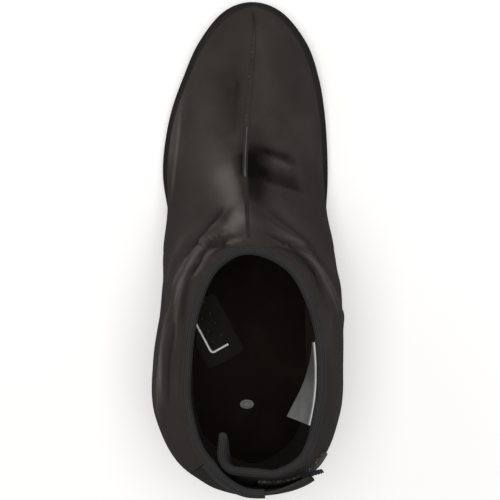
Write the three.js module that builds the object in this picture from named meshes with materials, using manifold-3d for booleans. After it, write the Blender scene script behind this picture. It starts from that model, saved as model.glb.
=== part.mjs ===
// A left cycling overshoe: a black membrane bootee that is pulled over a cycling shoe to keep rain off.
// Millimetres, +Z up, +Y towards the toe, +X towards the wearer's right. The sole's lugs stand on Z = 0.
//
// The upper is one skin. It rises from the sole line to a crest, which is the instep seam in front
// and the collar behind. A station counts from 0 at the toe to 14 at the heel: it is positive on the
// right side and negative on the left. A level runs from 0 at the sole line to 1 at the crest.
// Flap, tapes, rand, binding and seams are all taken from this skin, at an offset along its normal.
import * as THREE from "three";
import Module from "manifold-3d";
import { mergeVertices } from "three/addons/utils/BufferGeometryUtils.js";

const wasm = await Module();
wasm.setup();

// Main sizes of the skin.
const LENGTH = 296; // along the sole line, heel to toe
const BALL_WIDTH = 101; // across the sole line at the ball
const COLLAR_HEIGHT = 166; // of the collar's front above the sole line
const COLLAR_DROP = 9; // from the collar's front to its back
const COLLAR_LENGTH = 134;
const COLLAR_WIDTH = 80;
const COLLAR_FRONT = -7.5; // the collar's front, ahead of the middle of the length
const SHAFT_BULGE = 24; // how far the slack shaft is drawn out past the sole line
const VAMP_WIDTH = 28; // how far the vamp's flat top is drawn out from the instep seam

// Thicknesses and clearances.
const WALL = 1.5;
const GAP = 0.3; // between pieces that touch
const SOLE_THICKNESS = 2.4;
const LUG_HEIGHT = 2;
const TOE_SPRING = 9;
const HEEL_SPRING = 2;
const ARCH_RISE = 2.5;
const RAND_HEIGHT = 13; // the sole's edge, turned up over the upper
const RAND_WALL = 1.4;
const RAND_FOOT_HEIGHT = 6; // the thicker step at the foot of the rand
const RAND_FOOT_WALL = 2.3;

// Closure at the heel.
const SLIT_DEPTH = 74; // from the collar down to the end of the heel slit
const UNDERLAP_TUCK = 6.5; // how far the inner end of the slit sits inside the outer one
const CURL_STRAIGHT = 21; // the underlap runs on level for this far, then curls forwards
const CURL_SLOPE = 0.08; // how much it runs forwards over that distance
const CURL_RADIUS = 10;
const CURL_LENGTH = 46; // from where it leaves the skin to its edge
const FLAP_STAND = 5; // room between the underlap and the flap, at its top
const FLAP_FOOT_STAND = 3.8; // and at its foot, where the tapes hold
const FLAP_LIFT = 1.6; // how much further its free end's top stands off
const TAPE_THICKNESS = 1.3;
const PULL_TAB_LENGTH = 13;
const PULL_TAB_WIDTH = 9;
const PULL_TAB_THICKNESS = 2.4;

// Collar binding and seams.
const BINDING_HEIGHT = 8.5;
const BINDING_WALL = 1.3;
const BINDING_GAP = 0.6;
const SEAM_WIDTH = 4.4;
const SEAM_THICKNESS = 0.9;

// Label, sole patch and plug.
const LABEL_THICKNESS = 0.6;
const LABEL_DROP = 24;
const PATCH_LENGTH = 44;
const PATCH_WIDTH = 27;
const PATCH_INSET = 3; // from the sole's edge, where the patch is trimmed along it
const PATCH_THICKNESS = 1.2;
const PLUG_LENGTH = 8;
const PLUG_WIDTH = 5;
const PLUG_HEIGHT = 1.6;

const STEPS_PER_STATION = 3;
const HEEL_STEPS = 3; // how many times as many there are round the heel

const COLOURS = {
  membrane: 0x2b2827,
  rubber: 0x1b1a1a,
  binding: 0x34363a,
  tape: 0x232323,
  tab: 0x2a2d33,
  label: 0xc9cbcc,
  plug: 0x8c8e90,
};

// The sole line: along is a share of LENGTH from the heel, left and right are shares of BALL_WIDTH.
const SOLE_LINE = [
  { along: 1.0, left: 0.012, right: 0.012 },
  { along: 0.98, left: -0.16, right: 0.19 },
  { along: 0.917, left: -0.308, right: 0.34 },
  { along: 0.846, left: -0.402, right: 0.414 },
  { along: 0.779, left: -0.474, right: 0.449 },
  { along: 0.711, left: -0.515, right: 0.465 },
  { along: 0.639, left: -0.53, right: 0.47 },
  { along: 0.557, left: -0.482, right: 0.444 },
  { along: 0.473, left: -0.43, right: 0.406 },
  { along: 0.385, left: -0.39, right: 0.376 },
  { along: 0.297, left: -0.378, right: 0.37 },
  { along: 0.209, left: -0.382, right: 0.376 },
  { along: 0.128, left: -0.366, right: 0.364 },
  { along: 0.049, left: -0.272, right: 0.272 },
  { along: 0.0, left: 0.02, right: 0.02 },
];

// The instep seam, from the toe to the collar: along is a share of LENGTH, side of BALL_WIDTH,
// height of COLLAR_HEIGHT above the sole line.
const INSTEP_SEAM = [
  { along: 0.975, side: 0.022, height: 0.158 },
  { along: 0.945, side: 0.026, height: 0.218 },
  { along: 0.889, side: 0.02, height: 0.27 },
  { along: 0.828, side: 0.005, height: 0.31 },
  { along: 0.765, side: -0.01, height: 0.354 },
  { along: 0.703, side: -0.023, height: 0.414 },
  { along: 0.638, side: -0.03, height: 0.504 },
  { along: 0.564, side: -0.02, height: 0.672 },
  { along: 0.475, side: -0.008, height: 1.0 },
];

// The collar, from its front to the heel: back is a share of COLLAR_LENGTH, left and right of COLLAR_WIDTH.
const COLLAR = [
  { back: 0.0, left: -0.01, right: -0.01 },
  { back: 0.075, left: -0.255, right: 0.285 },
  { back: 0.25, left: -0.39, right: 0.45 },
  { back: 0.46, left: -0.448, right: 0.515 },
  { back: 0.69, left: -0.445, right: 0.495 },
  { back: 0.905, left: -0.305, right: 0.37 },
  { back: 1.0, left: 0.06, right: 0.06 },
];

// How the skin leaves the sole line and reaches the crest, station by station. lowOut, highLeft and
// highRight are shares of VAMP_WIDTH in front of the collar and of SHAFT_BULGE behind it, fore is a
// share of COLLAR_LENGTH, lowUp and highDown are shares of COLLAR_HEIGHT.
const SWELL = [
  { lowOut: 0.14, lowUp: 0.05, highLeft: 0.27, highRight: 0.27, fore: 0.0, highDown: 0.018 },
  { lowOut: 0.13, lowUp: 0.08, highLeft: 0.36, highRight: 0.36, fore: 0.0, highDown: 0.014 },
  { lowOut: 0.12, lowUp: 0.11, highLeft: 0.6, highRight: 0.6, fore: 0.0, highDown: 0.02 },
  { lowOut: 0.11, lowUp: 0.135, highLeft: 0.78, highRight: 0.78, fore: 0.0, highDown: 0.026 },
  { lowOut: 0.1, lowUp: 0.155, highLeft: 0.9, highRight: 0.9, fore: 0.0, highDown: 0.034 },
  { lowOut: 0.12, lowUp: 0.175, highLeft: 0.98, highRight: 0.98, fore: 0.01, highDown: 0.05 },
  { lowOut: 0.14, lowUp: 0.2, highLeft: 1.0, highRight: 1.0, fore: 0.025, highDown: 0.08 },
  { lowOut: 0.62, lowUp: 0.27, highLeft: 1.05, highRight: 1.05, fore: 0.05, highDown: 0.16 },
  { lowOut: 1.28, lowUp: 0.33, highLeft: 1.25, highRight: 1.4, fore: 0.07, highDown: 0.24 },
  { lowOut: 1.24, lowUp: 0.34, highLeft: 1.2, highRight: 1.4, fore: 0.05, highDown: 0.28 },
  { lowOut: 1.04, lowUp: 0.34, highLeft: 1.24, highRight: 1.14, fore: 0.02, highDown: 0.3 },
  { lowOut: 1.0, lowUp: 0.34, highLeft: 1.4, highRight: 0.88, fore: 0.0, highDown: 0.31 },
  { lowOut: 0.92, lowUp: 0.34, highLeft: 1.46, highRight: 0.92, fore: 0.0, highDown: 0.31 },
  { lowOut: 0.55, lowUp: 0.33, highLeft: 1.2, highRight: 0.92, fore: 0.0, highDown: 0.3 },
  { lowOut: 0.25, lowUp: 0.3, highLeft: 0.42, highRight: 0.42, fore: 0.0, highDown: 0.3 },
];

// Stations: the instep seam ends and the collar starts at COLLAR_STATION, and the heel is at HEEL_STATION.
const COLLAR_STATION = INSTEP_SEAM.length - 1;
const HEEL_STATION = SOLE_LINE.length - 1;
const SLIT_LEFT = 1 - HEEL_STATION; // the slit's edge on the left panel, where the flap is sewn on
const SLIT_RIGHT = SLIT_LEFT - 1 / STEPS_PER_STATION; // the underlap's edge

// A cubic through four evenly spaced values, between the second and the third.
function cubic(a, b, c, d, t) {
  const rise = (c - a) / 2;
  const fall = (d - b) / 2;
  return b + t * (rise + t * (3 * (c - b) - 2 * rise - fall + t * (2 * (b - c) + rise + fall)));
}

// A value of a table at a station, with the table carried on round the loop past its ends.
function across(station, valueAt) {
  const first = Math.floor(station);
  const [a, b, c, d] = [-1, 0, 1, 2].map((step) => valueAt(first + step));
  return cubic(a, b, c, d, station - first);
}

// The row and side of a whole station, where the loop closes on itself at the heel.
function rowAndSide(station) {
  const turn = 2 * HEEL_STATION;
  const wrapped = ((station + HEEL_STATION + turn) % turn) - HEEL_STATION;
  return { row: Math.abs(wrapped), right: wrapped >= 0 };
}

function smoothstep(low, high, value) {
  const t = THREE.MathUtils.clamp((value - low) / (high - low), 0, 1);
  return t * t * (3 - 2 * t);
}

// The sole's rise above its flat tread, for a share of the length from the heel.
function soleRise(along) {
  const toe = (smoothstep(0.7, 1.12, along) / smoothstep(0.7, 1.12, 1)) * TOE_SPRING;
  const heel = (smoothstep(0.12, -0.08, along) / smoothstep(0.12, -0.08, 0)) * HEEL_SPRING;
  const arch = smoothstep(0.26, 0.42, along) * smoothstep(0.6, 0.46, along) * ARCH_RISE;
  return toe + heel + arch;
}

const shareOfLength = (y) => y / LENGTH + 0.5;
const soleBottom = (y) => LUG_HEIGHT + soleRise(shareOfLength(y));
const soleTop = (y) => soleBottom(y) + SOLE_THICKNESS;

function soleLinePoint(station) {
  const along = across(station, (s) => SOLE_LINE[rowAndSide(s).row].along);
  const side = across(station, (s) => {
    const { row, right } = rowAndSide(s);
    return right ? SOLE_LINE[row].right : SOLE_LINE[row].left;
  });
  const y = LENGTH * (along - 0.5);
  return new THREE.Vector3(BALL_WIDTH * side, y, soleTop(y) + GAP);
}

// The level direction that points away from the shoe at a station of the sole line.
function outwardAt(station) {
  const step = 0.05;
  const ahead = soleLinePoint(station + step);
  const behind = soleLinePoint(station - step);
  return new THREE.Vector3(-(ahead.y - behind.y), ahead.x - behind.x, 0).normalize();
}

const SOLE_LEVEL = LUG_HEIGHT + SOLE_THICKNESS + GAP;

function seamPoint(station) {
  const distance = Math.min(Math.abs(station), COLLAR_STATION);
  const last = INSTEP_SEAM.length - 1;
  const read = (name) =>
    across(Math.min(distance, COLLAR_STATION - 1e-9), (s) => {
      if (s < 0) return 2 * INSTEP_SEAM[0][name] - INSTEP_SEAM[1][name];
      if (s > last) return 2 * INSTEP_SEAM[last][name] - INSTEP_SEAM[last - 1][name];
      return INSTEP_SEAM[s][name];
    });
  const y = LENGTH * (read("along") - 0.5);
  return new THREE.Vector3(BALL_WIDTH * read("side"), y, SOLE_LEVEL + COLLAR_HEIGHT * read("height"));
}

function collarPoint(station) {
  const sign = Math.sign(station);
  const read = (pick) =>
    across(Math.abs(station) - COLLAR_STATION, (s) => {
      const last = COLLAR.length - 1;
      const row = s < 0 ? -s : s > last ? 2 * last - s : s;
      const right = s < 0 || s > last ? sign < 0 : sign > 0;
      return pick(COLLAR[row], right);
    });
  const back = read((row) => row.back);
  const side = read((row, right) => (right ? row.right : row.left));
  const height = COLLAR_HEIGHT - COLLAR_DROP * back;
  return new THREE.Vector3(COLLAR_WIDTH * side, COLLAR_FRONT - COLLAR_LENGTH * back, SOLE_LEVEL + height);
}

const onCollar = (station) => Math.abs(station) >= COLLAR_STATION;
const crestPoint = (station) => (onCollar(station) ? collarPoint(station) : seamPoint(station));

// The share of a swell that follows the shaft, and not the vamp.
const shaftShare = (station) => smoothstep(COLLAR_STATION - 2, COLLAR_STATION + 1, Math.abs(station));

function swellAt(station) {
  const reach = THREE.MathUtils.lerp(VAMP_WIDTH, SHAFT_BULGE, shaftShare(station));
  const read = (name) => across(station, (s) => SWELL[rowAndSide(s).row][name]);
  const highOut = across(station, (s) => {
    const { row, right } = rowAndSide(s);
    return right ? SWELL[row].highRight : SWELL[row].highLeft;
  });
  return {
    lowOut: reach * read("lowOut"),
    lowUp: COLLAR_HEIGHT * read("lowUp"),
    highOut: reach * highOut,
    fore: COLLAR_LENGTH * read("fore"),
    highDown: COLLAR_HEIGHT * read("highDown"),
  };
}

// The skin's curve from the sole line to the crest at a station.
function wallCurve(station) {
  const foot = soleLinePoint(station);
  const crest = crestPoint(station);
  const outward = outwardAt(station);
  const swell = swellAt(station);
  const low = foot.clone().addScaledVector(outward, swell.lowOut);
  low.z += swell.lowUp;
  const high = crest.clone().addScaledVector(outward, swell.highOut);
  high.y += swell.fore;
  high.z -= swell.highDown;
  return new THREE.CubicBezierCurve3(foot, low, high, crest);
}

const curves = new Map();
function curveAt(station) {
  const key = station.toFixed(5);
  if (!curves.has(key)) curves.set(key, wallCurve(station));
  return curves.get(key);
}

const skinPoint = (station, level) => curveAt(station).getPoint(level);

function oneSidedNormal(station, level) {
  const step = 0.02;
  const kept = onCollar(station)
    ? [Math.max(Math.abs(station) - step, COLLAR_STATION), Math.abs(station) + step]
    : [Math.abs(station) - step, Math.min(Math.abs(station) + step, COLLAR_STATION - 1e-6)];
  const sign = station < 0 ? -1 : 1;
  const [near, far] = kept.map((s) => sign * s);
  const low = Math.min(level, 1 - step);
  const around = skinPoint(far, low).sub(skinPoint(near, low)).multiplyScalar(sign);
  const up = skinPoint(station, low + step).sub(skinPoint(station, Math.max(0, low - step)));
  return up.cross(around).normalize();
}

// The skin's outward normal. Both sides share it on the instep seam and at the toe.
function skinNormal(station, level) {
  const normal = oneSidedNormal(station, level);
  const shared = !onCollar(station) && level > 1 - 1e-6;
  return shared ? normal.add(oneSidedNormal(-station, level)).normalize() : normal;
}

// The level at a height above the sole line, found by halving.
function levelAtHeight(station, height) {
  const curve = curveAt(station);
  const start = curve.getPoint(0).z;
  let low = 0;
  let high = 0.6;
  for (let round = 0; round < 30; round += 1) {
    const middle = (low + high) / 2;
    if (curve.getPoint(middle).z - start < height) low = middle;
    else high = middle;
  }
  return low;
}

// The level at a distance along the skin below the crest.
function levelBelowCrest(station, distance) {
  const curve = curveAt(station);
  const crest = curve.getPoint(1);
  let level = 1;
  while (level > 0.5 && curve.getPoint(level).distanceTo(crest) < distance) level -= 0.004;
  return level;
}

// The levels of the skin's rows at a station: the rand's rows, the body of the wall, the binding's rows.
const RAND_ROWS = 3;
const BODY_ROWS = 8;
const BINDING_ROWS = 2;
const TOP_ROW = RAND_ROWS + BODY_ROWS + BINDING_ROWS;

function rowLevels(station) {
  const shrink = Math.min(1, (0.55 * (crestPoint(station).z - soleLinePoint(station).z)) / RAND_HEIGHT);
  const foot = levelAtHeight(station, RAND_FOOT_HEIGHT * shrink);
  const rand = levelAtHeight(station, RAND_HEIGHT * shrink);
  const binding = levelBelowCrest(station, BINDING_HEIGHT);
  const levels = [0, foot, (foot + rand) / 2, rand];
  for (let row = 1; row <= BODY_ROWS; row += 1) {
    levels.push(THREE.MathUtils.lerp(rand, binding, row / BODY_ROWS));
  }
  for (let row = 1; row <= BINDING_ROWS; row += 1) {
    levels.push(THREE.MathUtils.lerp(binding, 1, row / BINDING_ROWS));
  }
  return levels;
}

// The stations of the skin's columns, from the heel's left side round the toe to its right side.
// They are closer together round the heel, where the underlap curls.
const halfStations = [];
for (let step = 1; step <= HEEL_STATION * STEPS_PER_STATION; step += 1) {
  const station = step / STEPS_PER_STATION;
  if (station > -SLIT_RIGHT + 1e-6) {
    for (let part = 1; part < HEEL_STEPS; part += 1) {
      halfStations.push(station - (1 - part / HEEL_STEPS) / STEPS_PER_STATION);
    }
  }
  halfStations.push(station);
}
const STATIONS = [...halfStations.slice(0, -1).map((station) => -station).reverse(), 0, ...halfStations];
const COLUMNS = STATIONS.length;
const columnOf = (station) => {
  const place = station < 1e-6 - HEEL_STATION ? station + 2 * HEEL_STATION : station;
  return STATIONS.findIndex((candidate) => Math.abs(candidate - place) < 1e-6);
};

// The row at which the heel slit ends.
const SLIT_ROW = rowLevels(HEEL_STATION).findIndex(
  (level) => skinPoint(HEEL_STATION, level).z > SOLE_LEVEL + COLLAR_HEIGHT - COLLAR_DROP - SLIT_DEPTH,
);

// How far round the heel a station lies from the slit's underlap edge: 0 there, and more to the right.
const pastUnderlapEdge = (station) => (station < 0 ? station - SLIT_RIGHT : station - SLIT_RIGHT - 2 * HEEL_STATION) * -1;

// How many stations of the underlap's end leave the skin.
const CURL_STATIONS = 1;

// How far inwards the underlap is tucked, at a station and a row.
function tuckAt(station, row) {
  const behind = Math.abs(station) > 12 && (station > 0 || station <= SLIT_RIGHT + 1e-6);
  if (!behind || row <= SLIT_ROW) return 0;
  const along = 1 - smoothstep(0, 1.9, pastUnderlapEdge(station));
  return UNDERLAP_TUCK * along * smoothstep(SLIT_ROW, SLIT_ROW + 4, row);
}

// How much of the wall's height is left where the underlap's corner is rounded.
function cornerShare(station, row) {
  if (station > 0 || station > SLIT_RIGHT + 1e-6 || row <= SLIT_ROW) return 1;
  const distance = pastUnderlapEdge(station);
  return 1 - 0.06 * (1 - smoothstep(0, 0.5, distance)) * smoothstep(SLIT_ROW, TOP_ROW, row);
}

// One vertex of the sheet: where it is on the skin, with its normal.
function plainVertexAt(station, row) {
  const level = rowLevels(station)[row] * cornerShare(station, row);
  const normal = skinNormal(station, level);
  const point = skinPoint(station, level).addScaledVector(normal, -tuckAt(station, row));
  return { point, normal };
}

// The same, with the underlap's end led straight on and then curled forwards into the shoe.
function vertexAt(station, row) {
  const plain = plainVertexAt(station, row);
  const behind = Math.abs(station) > 13 && (station > 0 || station <= SLIT_RIGHT + 1e-6);
  const share = 1 - pastUnderlapEdge(station) / CURL_STATIONS;
  if (!behind || row <= SLIT_ROW || share <= 0) return plain;
  const start = plainVertexAt(SLIT_RIGHT + 2 * HEEL_STATION - CURL_STATIONS, row);
  const out = new THREE.Vector3(-CURL_SLOPE, -1, 0).normalize();
  const along = new THREE.Vector3(out.y, -out.x, 0);
  const ran = share * CURL_LENGTH;
  const angle = Math.min(Math.max(0, ran - CURL_STRAIGHT) / CURL_RADIUS, Math.PI / 2);
  const ahead = Math.min(ran, CURL_STRAIGHT) + CURL_RADIUS * Math.sin(angle);
  const inward = CURL_RADIUS * (1 - Math.cos(angle)) + Math.max(0, ran - CURL_STRAIGHT - (CURL_RADIUS * Math.PI) / 2);
  const bent = start.point.clone().addScaledVector(along, ahead).addScaledVector(out, -inward);
  bent.z = plain.point.z;
  const turned = out.clone().multiplyScalar(Math.cos(angle)).addScaledVector(along, Math.sin(angle));
  const levels = rowLevels(station);
  const amount = (levels[row] - levels[SLIT_ROW]) / (1 - levels[SLIT_ROW]);
  return {
    point: plain.point.lerp(bent, amount),
    normal: plain.normal.lerp(turned, amount * smoothstep(0, 0.4, share)).normalize(),
  };
}

function solidOf(geometry) {
  const bare = geometry.index ? geometry.toNonIndexed() : geometry.clone();
  bare.deleteAttribute("normal");
  bare.deleteAttribute("uv");
  const merged = mergeVertices(bare, 1e-4);
  return new wasm.Manifold(
    new wasm.Mesh({
      numProp: 3,
      vertProperties: merged.attributes.position.array,
      triVerts: new Uint32Array(merged.index.array),
    }),
  );
}

function geometryOf(solid) {
  const mesh = solid.getMesh();
  const geometry = new THREE.BufferGeometry();
  geometry.setAttribute("position", new THREE.BufferAttribute(mesh.vertProperties, 3));
  geometry.setIndex(new THREE.BufferAttribute(mesh.triVerts, 1));
  return geometry;
}

// A closed geometry from points and triangles, turned right side out.
function closedGeometry(points, triangles) {
  let volume = 0;
  for (const [a, b, c] of triangles) {
    volume += points[a].dot(new THREE.Vector3().crossVectors(points[b], points[c]));
  }
  const facing = volume < 0 ? triangles.map(([a, b, c]) => [a, c, b]) : triangles;
  const geometry = new THREE.BufferGeometry().setFromPoints(points);
  geometry.setIndex(facing.flat());
  return geometry;
}

// A sheet between two offsets of a surface. Each vertex has a point and a normal, each face four or
// three vertices, and the offsets may be numbers or functions of the vertex.
function sheet(vertices, faces, outer, inner) {
  const read = (offset, vertex) => (typeof offset === "function" ? offset(vertex) : offset);
  const shift = (offset) => vertices.map((v) => v.point.clone().addScaledVector(v.normal, read(offset, v)));
  const points = [...shift(outer), ...shift(inner)];
  const count = vertices.length;
  const edges = new Set();
  const triangles = [];
  for (const face of faces) {
    const corners = face.filter((corner, index) => corner !== face[(index + 1) % face.length]);
    for (let index = 2; index < corners.length; index += 1) {
      const [a, b, c] = [corners[0], corners[index - 1], corners[index]];
      triangles.push([a, b, c], [a + count, c + count, b + count]);
    }
    corners.forEach((corner, index) => edges.add(`${corner},${corners[(index + 1) % corners.length]}`));
  }
  for (const edge of edges) {
    const [from, to] = edge.split(",").map(Number);
    if (edges.has(`${to},${from}`)) continue;
    triangles.push([to, from, from + count], [to, from + count, to + count]);
  }
  return closedGeometry(points, triangles);
}

// A sheet over a patch of the skin. The patch is a list of columns, each a list of vertices.
function patchSheet(columns, outer, inner) {
  const rows = columns[0].length;
  const faces = [];
  for (let column = 1; column < columns.length; column += 1) {
    for (let row = 1; row < rows; row += 1) {
      const [left, right] = [(column - 1) * rows + row, column * rows + row];
      faces.push([left - 1, right - 1, right, left]);
    }
  }
  return sheet(columns.flat(), faces, outer, inner);
}

// The upper: the whole skin, closed along the instep seam and open at the heel slit.
function upperGeometry() {
  const vertices = [];
  const index = STATIONS.map(() => []);
  STATIONS.forEach((station, column) => {
    for (let row = 0; row <= TOP_ROW; row += 1) {
      const twin = row === TOP_ROW && station > 0 && station < COLLAR_STATION + 1e-6;
      if (twin) {
        index[column][row] = index[columnOf(-station)][row];
        continue;
      }
      index[column][row] = vertices.push(vertexAt(station, row)) - 1;
    }
  });
  const faces = [];
  const slit = columnOf(SLIT_RIGHT);
  const toe = columnOf(0);
  for (let column = 0; column < COLUMNS; column += 1) {
    const next = (column + 1) % COLUMNS;
    for (let row = 0; row < TOP_ROW; row += 1) {
      if (column === slit && row >= SLIT_ROW) continue;
      if (row === TOP_ROW - 1 && (column === toe || next === toe)) continue;
      faces.push([index[column][row], index[next][row], index[next][row + 1], index[column][row + 1]]);
    }
  }
  // The two faces that meet on the seam at the toe are one, because the seam starts inside them.
  const row = TOP_ROW - 1;
  faces.push([index[toe - 1][row], index[toe][row], index[toe + 1][row], index[toe + 1][TOP_ROW]]);
  return sheet(vertices, faces, 0, -WALL);
}

// A closed solid from rings of the skin's columns, capped across the shoe at both ends.
function ringSolid(rings) {
  const triangles = [];
  const points = rings.flat();
  const at = (ring, column) => ring * COLUMNS + ((column + COLUMNS) % COLUMNS);
  for (let ring = 1; ring < rings.length; ring += 1) {
    for (let column = 0; column < COLUMNS; column += 1) {
      const [a, b] = [at(ring - 1, column), at(ring - 1, column + 1)];
      const [c, d] = [at(ring, column + 1), at(ring, column)];
      triangles.push([a, b, c], [a, c, d]);
    }
  }
  const toe = columnOf(0);
  const half = COLUMNS / 2;
  [0, rings.length - 1].forEach((ring, end) => {
    for (let step = 0; step < half; step += 1) {
      const [a, b] = [at(ring, toe - step), at(ring, toe - step - 1)];
      const [c, d] = [at(ring, toe + step + 1), at(ring, toe + step)];
      const cap = [];
      if (a !== d) cap.push([a, b, d]);
      if (b !== c) cap.push([d, b, c]);
      triangles.push(...(end ? cap.map(([p, q, r]) => [p, r, q]) : cap));
    }
  });
  return closedGeometry(points, triangles);
}

// A ring of the skin at one row, moved out by an offset.
function skinRing(row, offset) {
  return STATIONS.map((station) => {
    const level = rowLevels(station)[row];
    return skinPoint(station, level).addScaledVector(skinNormal(station, level), offset);
  });
}

// A level ring of the sole line, moved outwards, at a height worked out from its place.
function soleRing(offset, height) {
  return STATIONS.map((station) => {
    const point = soleLinePoint(station).addScaledVector(outwardAt(station), offset);
    point.z = height(point.y);
    return point;
  });
}

// Lugs: the tread bars, each centred at a share of the length and a share of the ball width.
const LUG_BARS = [
  { along: 0.955, width: 0.34, depth: 0.022 },
  { along: 0.9, width: 0.62, depth: 0.026 },
  { along: 0.845, width: 0.8, depth: 0.026 },
  { along: 0.79, width: 0.9, depth: 0.026 },
  { along: 0.735, width: 0.95, depth: 0.026 },
  { along: 0.68, width: 0.96, depth: 0.026 },
  { along: 0.625, width: 0.95, depth: 0.026 },
  { along: 0.57, width: 0.88, depth: 0.026 },
  { along: 0.2, width: 0.7, depth: 0.03 },
  { along: 0.14, width: 0.68, depth: 0.03 },
  { along: 0.08, width: 0.5, depth: 0.03 },
];
const LUG_INSET = 5;

function lugSolid() {
  const deep = soleRing(-LUG_INSET, (y) => soleBottom(y) - LUG_HEIGHT);
  const sunk = soleRing(-LUG_INSET, (y) => soleBottom(y) + SOLE_THICKNESS / 2);
  const tread = solidOf(ringSolid([deep, sunk]));
  const tall = 4 * (LUG_HEIGHT + TOE_SPRING + SOLE_THICKNESS);
  const bars = LUG_BARS.map((bar) => {
    const box = new THREE.BoxGeometry(BALL_WIDTH * bar.width, LENGTH * bar.depth, tall);
    box.translate(BALL_WIDTH * -0.01, LENGTH * (bar.along - 0.5), 0);
    return solidOf(box).intersect(tread);
  });
  return bars.reduce((all, bar) => all.add(bar));
}

// The plug's hole, and the plug, are the same oval at two sizes.
const PLUG_ALONG = 0.134; // share of LENGTH
const PLUG_SIDE = -0.02; // share of BALL_WIDTH

function ovalPrism(length, width, low, high) {
  const shape = new THREE.Shape().absellipse(0, 0, length / 2, width / 2, 0, 2 * Math.PI);
  const prism = new THREE.ExtrudeGeometry(shape, { depth: high - low, bevelEnabled: false, curveSegments: 9 });
  return prism.translate(BALL_WIDTH * PLUG_SIDE, LENGTH * (PLUG_ALONG - 0.5), low);
}

// The sole: a slab with its edge turned up over the upper, a step round its foot, and tread bars.
function soleGeometry() {
  const edge = GAP + RAND_FOOT_WALL;
  const rings = [
    soleRing(edge - 1.5, soleBottom),
    soleRing(edge, (y) => soleBottom(y) + 1),
    skinRing(0, edge),
    skinRing(1, edge),
    skinRing(1, GAP + RAND_WALL).map((point) => point.add(new THREE.Vector3(0, 0, 0.8))),
    skinRing(2, GAP + RAND_WALL),
    skinRing(3, GAP + RAND_WALL),
    skinRing(3, GAP),
    skinRing(2, GAP),
    skinRing(1, GAP),
    soleRing(GAP, (y) => soleTop(y)),
  ];
  const hole = ovalPrism(PLUG_LENGTH, PLUG_WIDTH, 0, SOLE_LEVEL + 2 * TOE_SPRING);
  return geometryOf(solidOf(ringSolid(rings)).add(lugSolid()).subtract(solidOf(hole)));
}

// The plug: a pale oval button in the sole's heel, with a rim on the inside.
function plugGeometry() {
  const y = LENGTH * (PLUG_ALONG - 0.5);
  const rim = 1.2;
  const stem = ovalPrism(PLUG_LENGTH - 2 * GAP, PLUG_WIDTH - 2 * GAP, soleBottom(y), soleTop(y) + 2 * GAP);
  const head = ovalPrism(PLUG_LENGTH + rim, PLUG_WIDTH + rim, soleTop(y) + GAP, soleTop(y) + GAP + PLUG_HEIGHT);
  return geometryOf(solidOf(stem).add(solidOf(head)));
}

// The stations of the flap, from its seam on the left panel round the heel to its free end.
const FLAP_END = HEEL_STATION - 0.9;
const FLAP_START = SLIT_LEFT - GAP / 30;
const flapStations = [FLAP_START];
for (let column = columnOf(SLIT_RIGHT) ; column !== -1; column -= 1) flapStations.push(STATIONS[column]);
flapStations.push(HEEL_STATION);
for (let s = HEEL_STATION - 1 / STEPS_PER_STATION; s > FLAP_END + 0.05; s -= 1 / STEPS_PER_STATION) {
  flapStations.push(s);
}
flapStations.push(FLAP_END);

// How far round the heel a station lies from the flap's seam.
const pastFlapSeam = (station) => (station < 0 ? FLAP_START - station : 2 * HEEL_STATION + FLAP_START - station);
const FLAP_SPAN = pastFlapSeam(FLAP_END);

// How far the flap's inner face stands out of the skin: more at its top than at its foot.
function flapStand({ station, row }) {
  const past = pastFlapSeam(station);
  const share = (row - SLIT_ROW) / (TOP_ROW - SLIT_ROW);
  const sewn = WALL * (1 - smoothstep(0, 0.4, past));
  const stand = THREE.MathUtils.lerp(FLAP_FOOT_STAND, FLAP_STAND, share) * smoothstep(0, 0.85, past);
  return stand + FLAP_LIFT * share * smoothstep(0.9, FLAP_SPAN, past) - sewn;
}

// A vertex of the flap. Its free end is rounded: the rows close in on the middle one there.
function flapVertex(station, row, close) {
  const levels = rowLevels(station);
  const low = levels[SLIT_ROW] + 0.012;
  const past = Math.max(0, pastFlapSeam(station) - FLAP_SPAN + close);
  const kept = 1 - 0.3 * (past / close) ** 2.2;
  const middle = (low + 1) / 2;
  const share = (row - SLIT_ROW) / (TOP_ROW - SLIT_ROW);
  const level = middle + (THREE.MathUtils.lerp(low, 1, share) - middle) * kept;
  return { point: skinPoint(station, level), normal: skinNormal(station, level), station, row };
}

const FLAP_ROWS = Array.from({ length: TOP_ROW - SLIT_ROW + 1 }, (_, step) => SLIT_ROW + step);
const FLAP_ROUNDING = 0.5;
const FLAP_BOUND = 0.58; // the share of the flap's top that the binding covers

function flapGeometry() {
  const columns = flapStations.map((s) => FLAP_ROWS.map((row) => flapVertex(s, row, FLAP_ROUNDING)));
  return patchSheet(columns, (v) => flapStand(v) + WALL, (v) => flapStand(v));
}

// Tape stations between two distances from the flap's seam.
const between = (from, to) => flapStations.filter((s) => pastFlapSeam(s) > from && pastFlapSeam(s) < to);
const tapeRows = FLAP_ROWS.slice(1, -2);

// The hook tape, sewn to the flap's inner face.
function hookTapeGeometry() {
  const columns = between(0.6, FLAP_SPAN - 0.2).map((s) => tapeRows.map((row) => flapVertex(s, row, FLAP_ROUNDING)));
  return patchSheet(columns, (v) => flapStand(v) - GAP, (v) => flapStand(v) - GAP - TAPE_THICKNESS);
}

// The loop tape, sewn to the outside of the underlap.
function loopTapeGeometry() {
  const rows = FLAP_ROWS.slice(1, -3);
  const columns = between(1.05, FLAP_SPAN + 0.5).map((s) => rows.map((row) => vertexAt(s, row)));
  return patchSheet(columns, 2 * GAP + TAPE_THICKNESS, 2 * GAP);
}

// The pull tab: a rubber tongue sewn inside the flap's free end, that points out past it.
const PULL_TAB_LEVEL = 0.86;
const PULL_TAB_HOLD = 4; // how much of its length lies on the flap
const PULL_TAB_TURN = THREE.MathUtils.degToRad(22); // away from the flap, past its end

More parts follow.
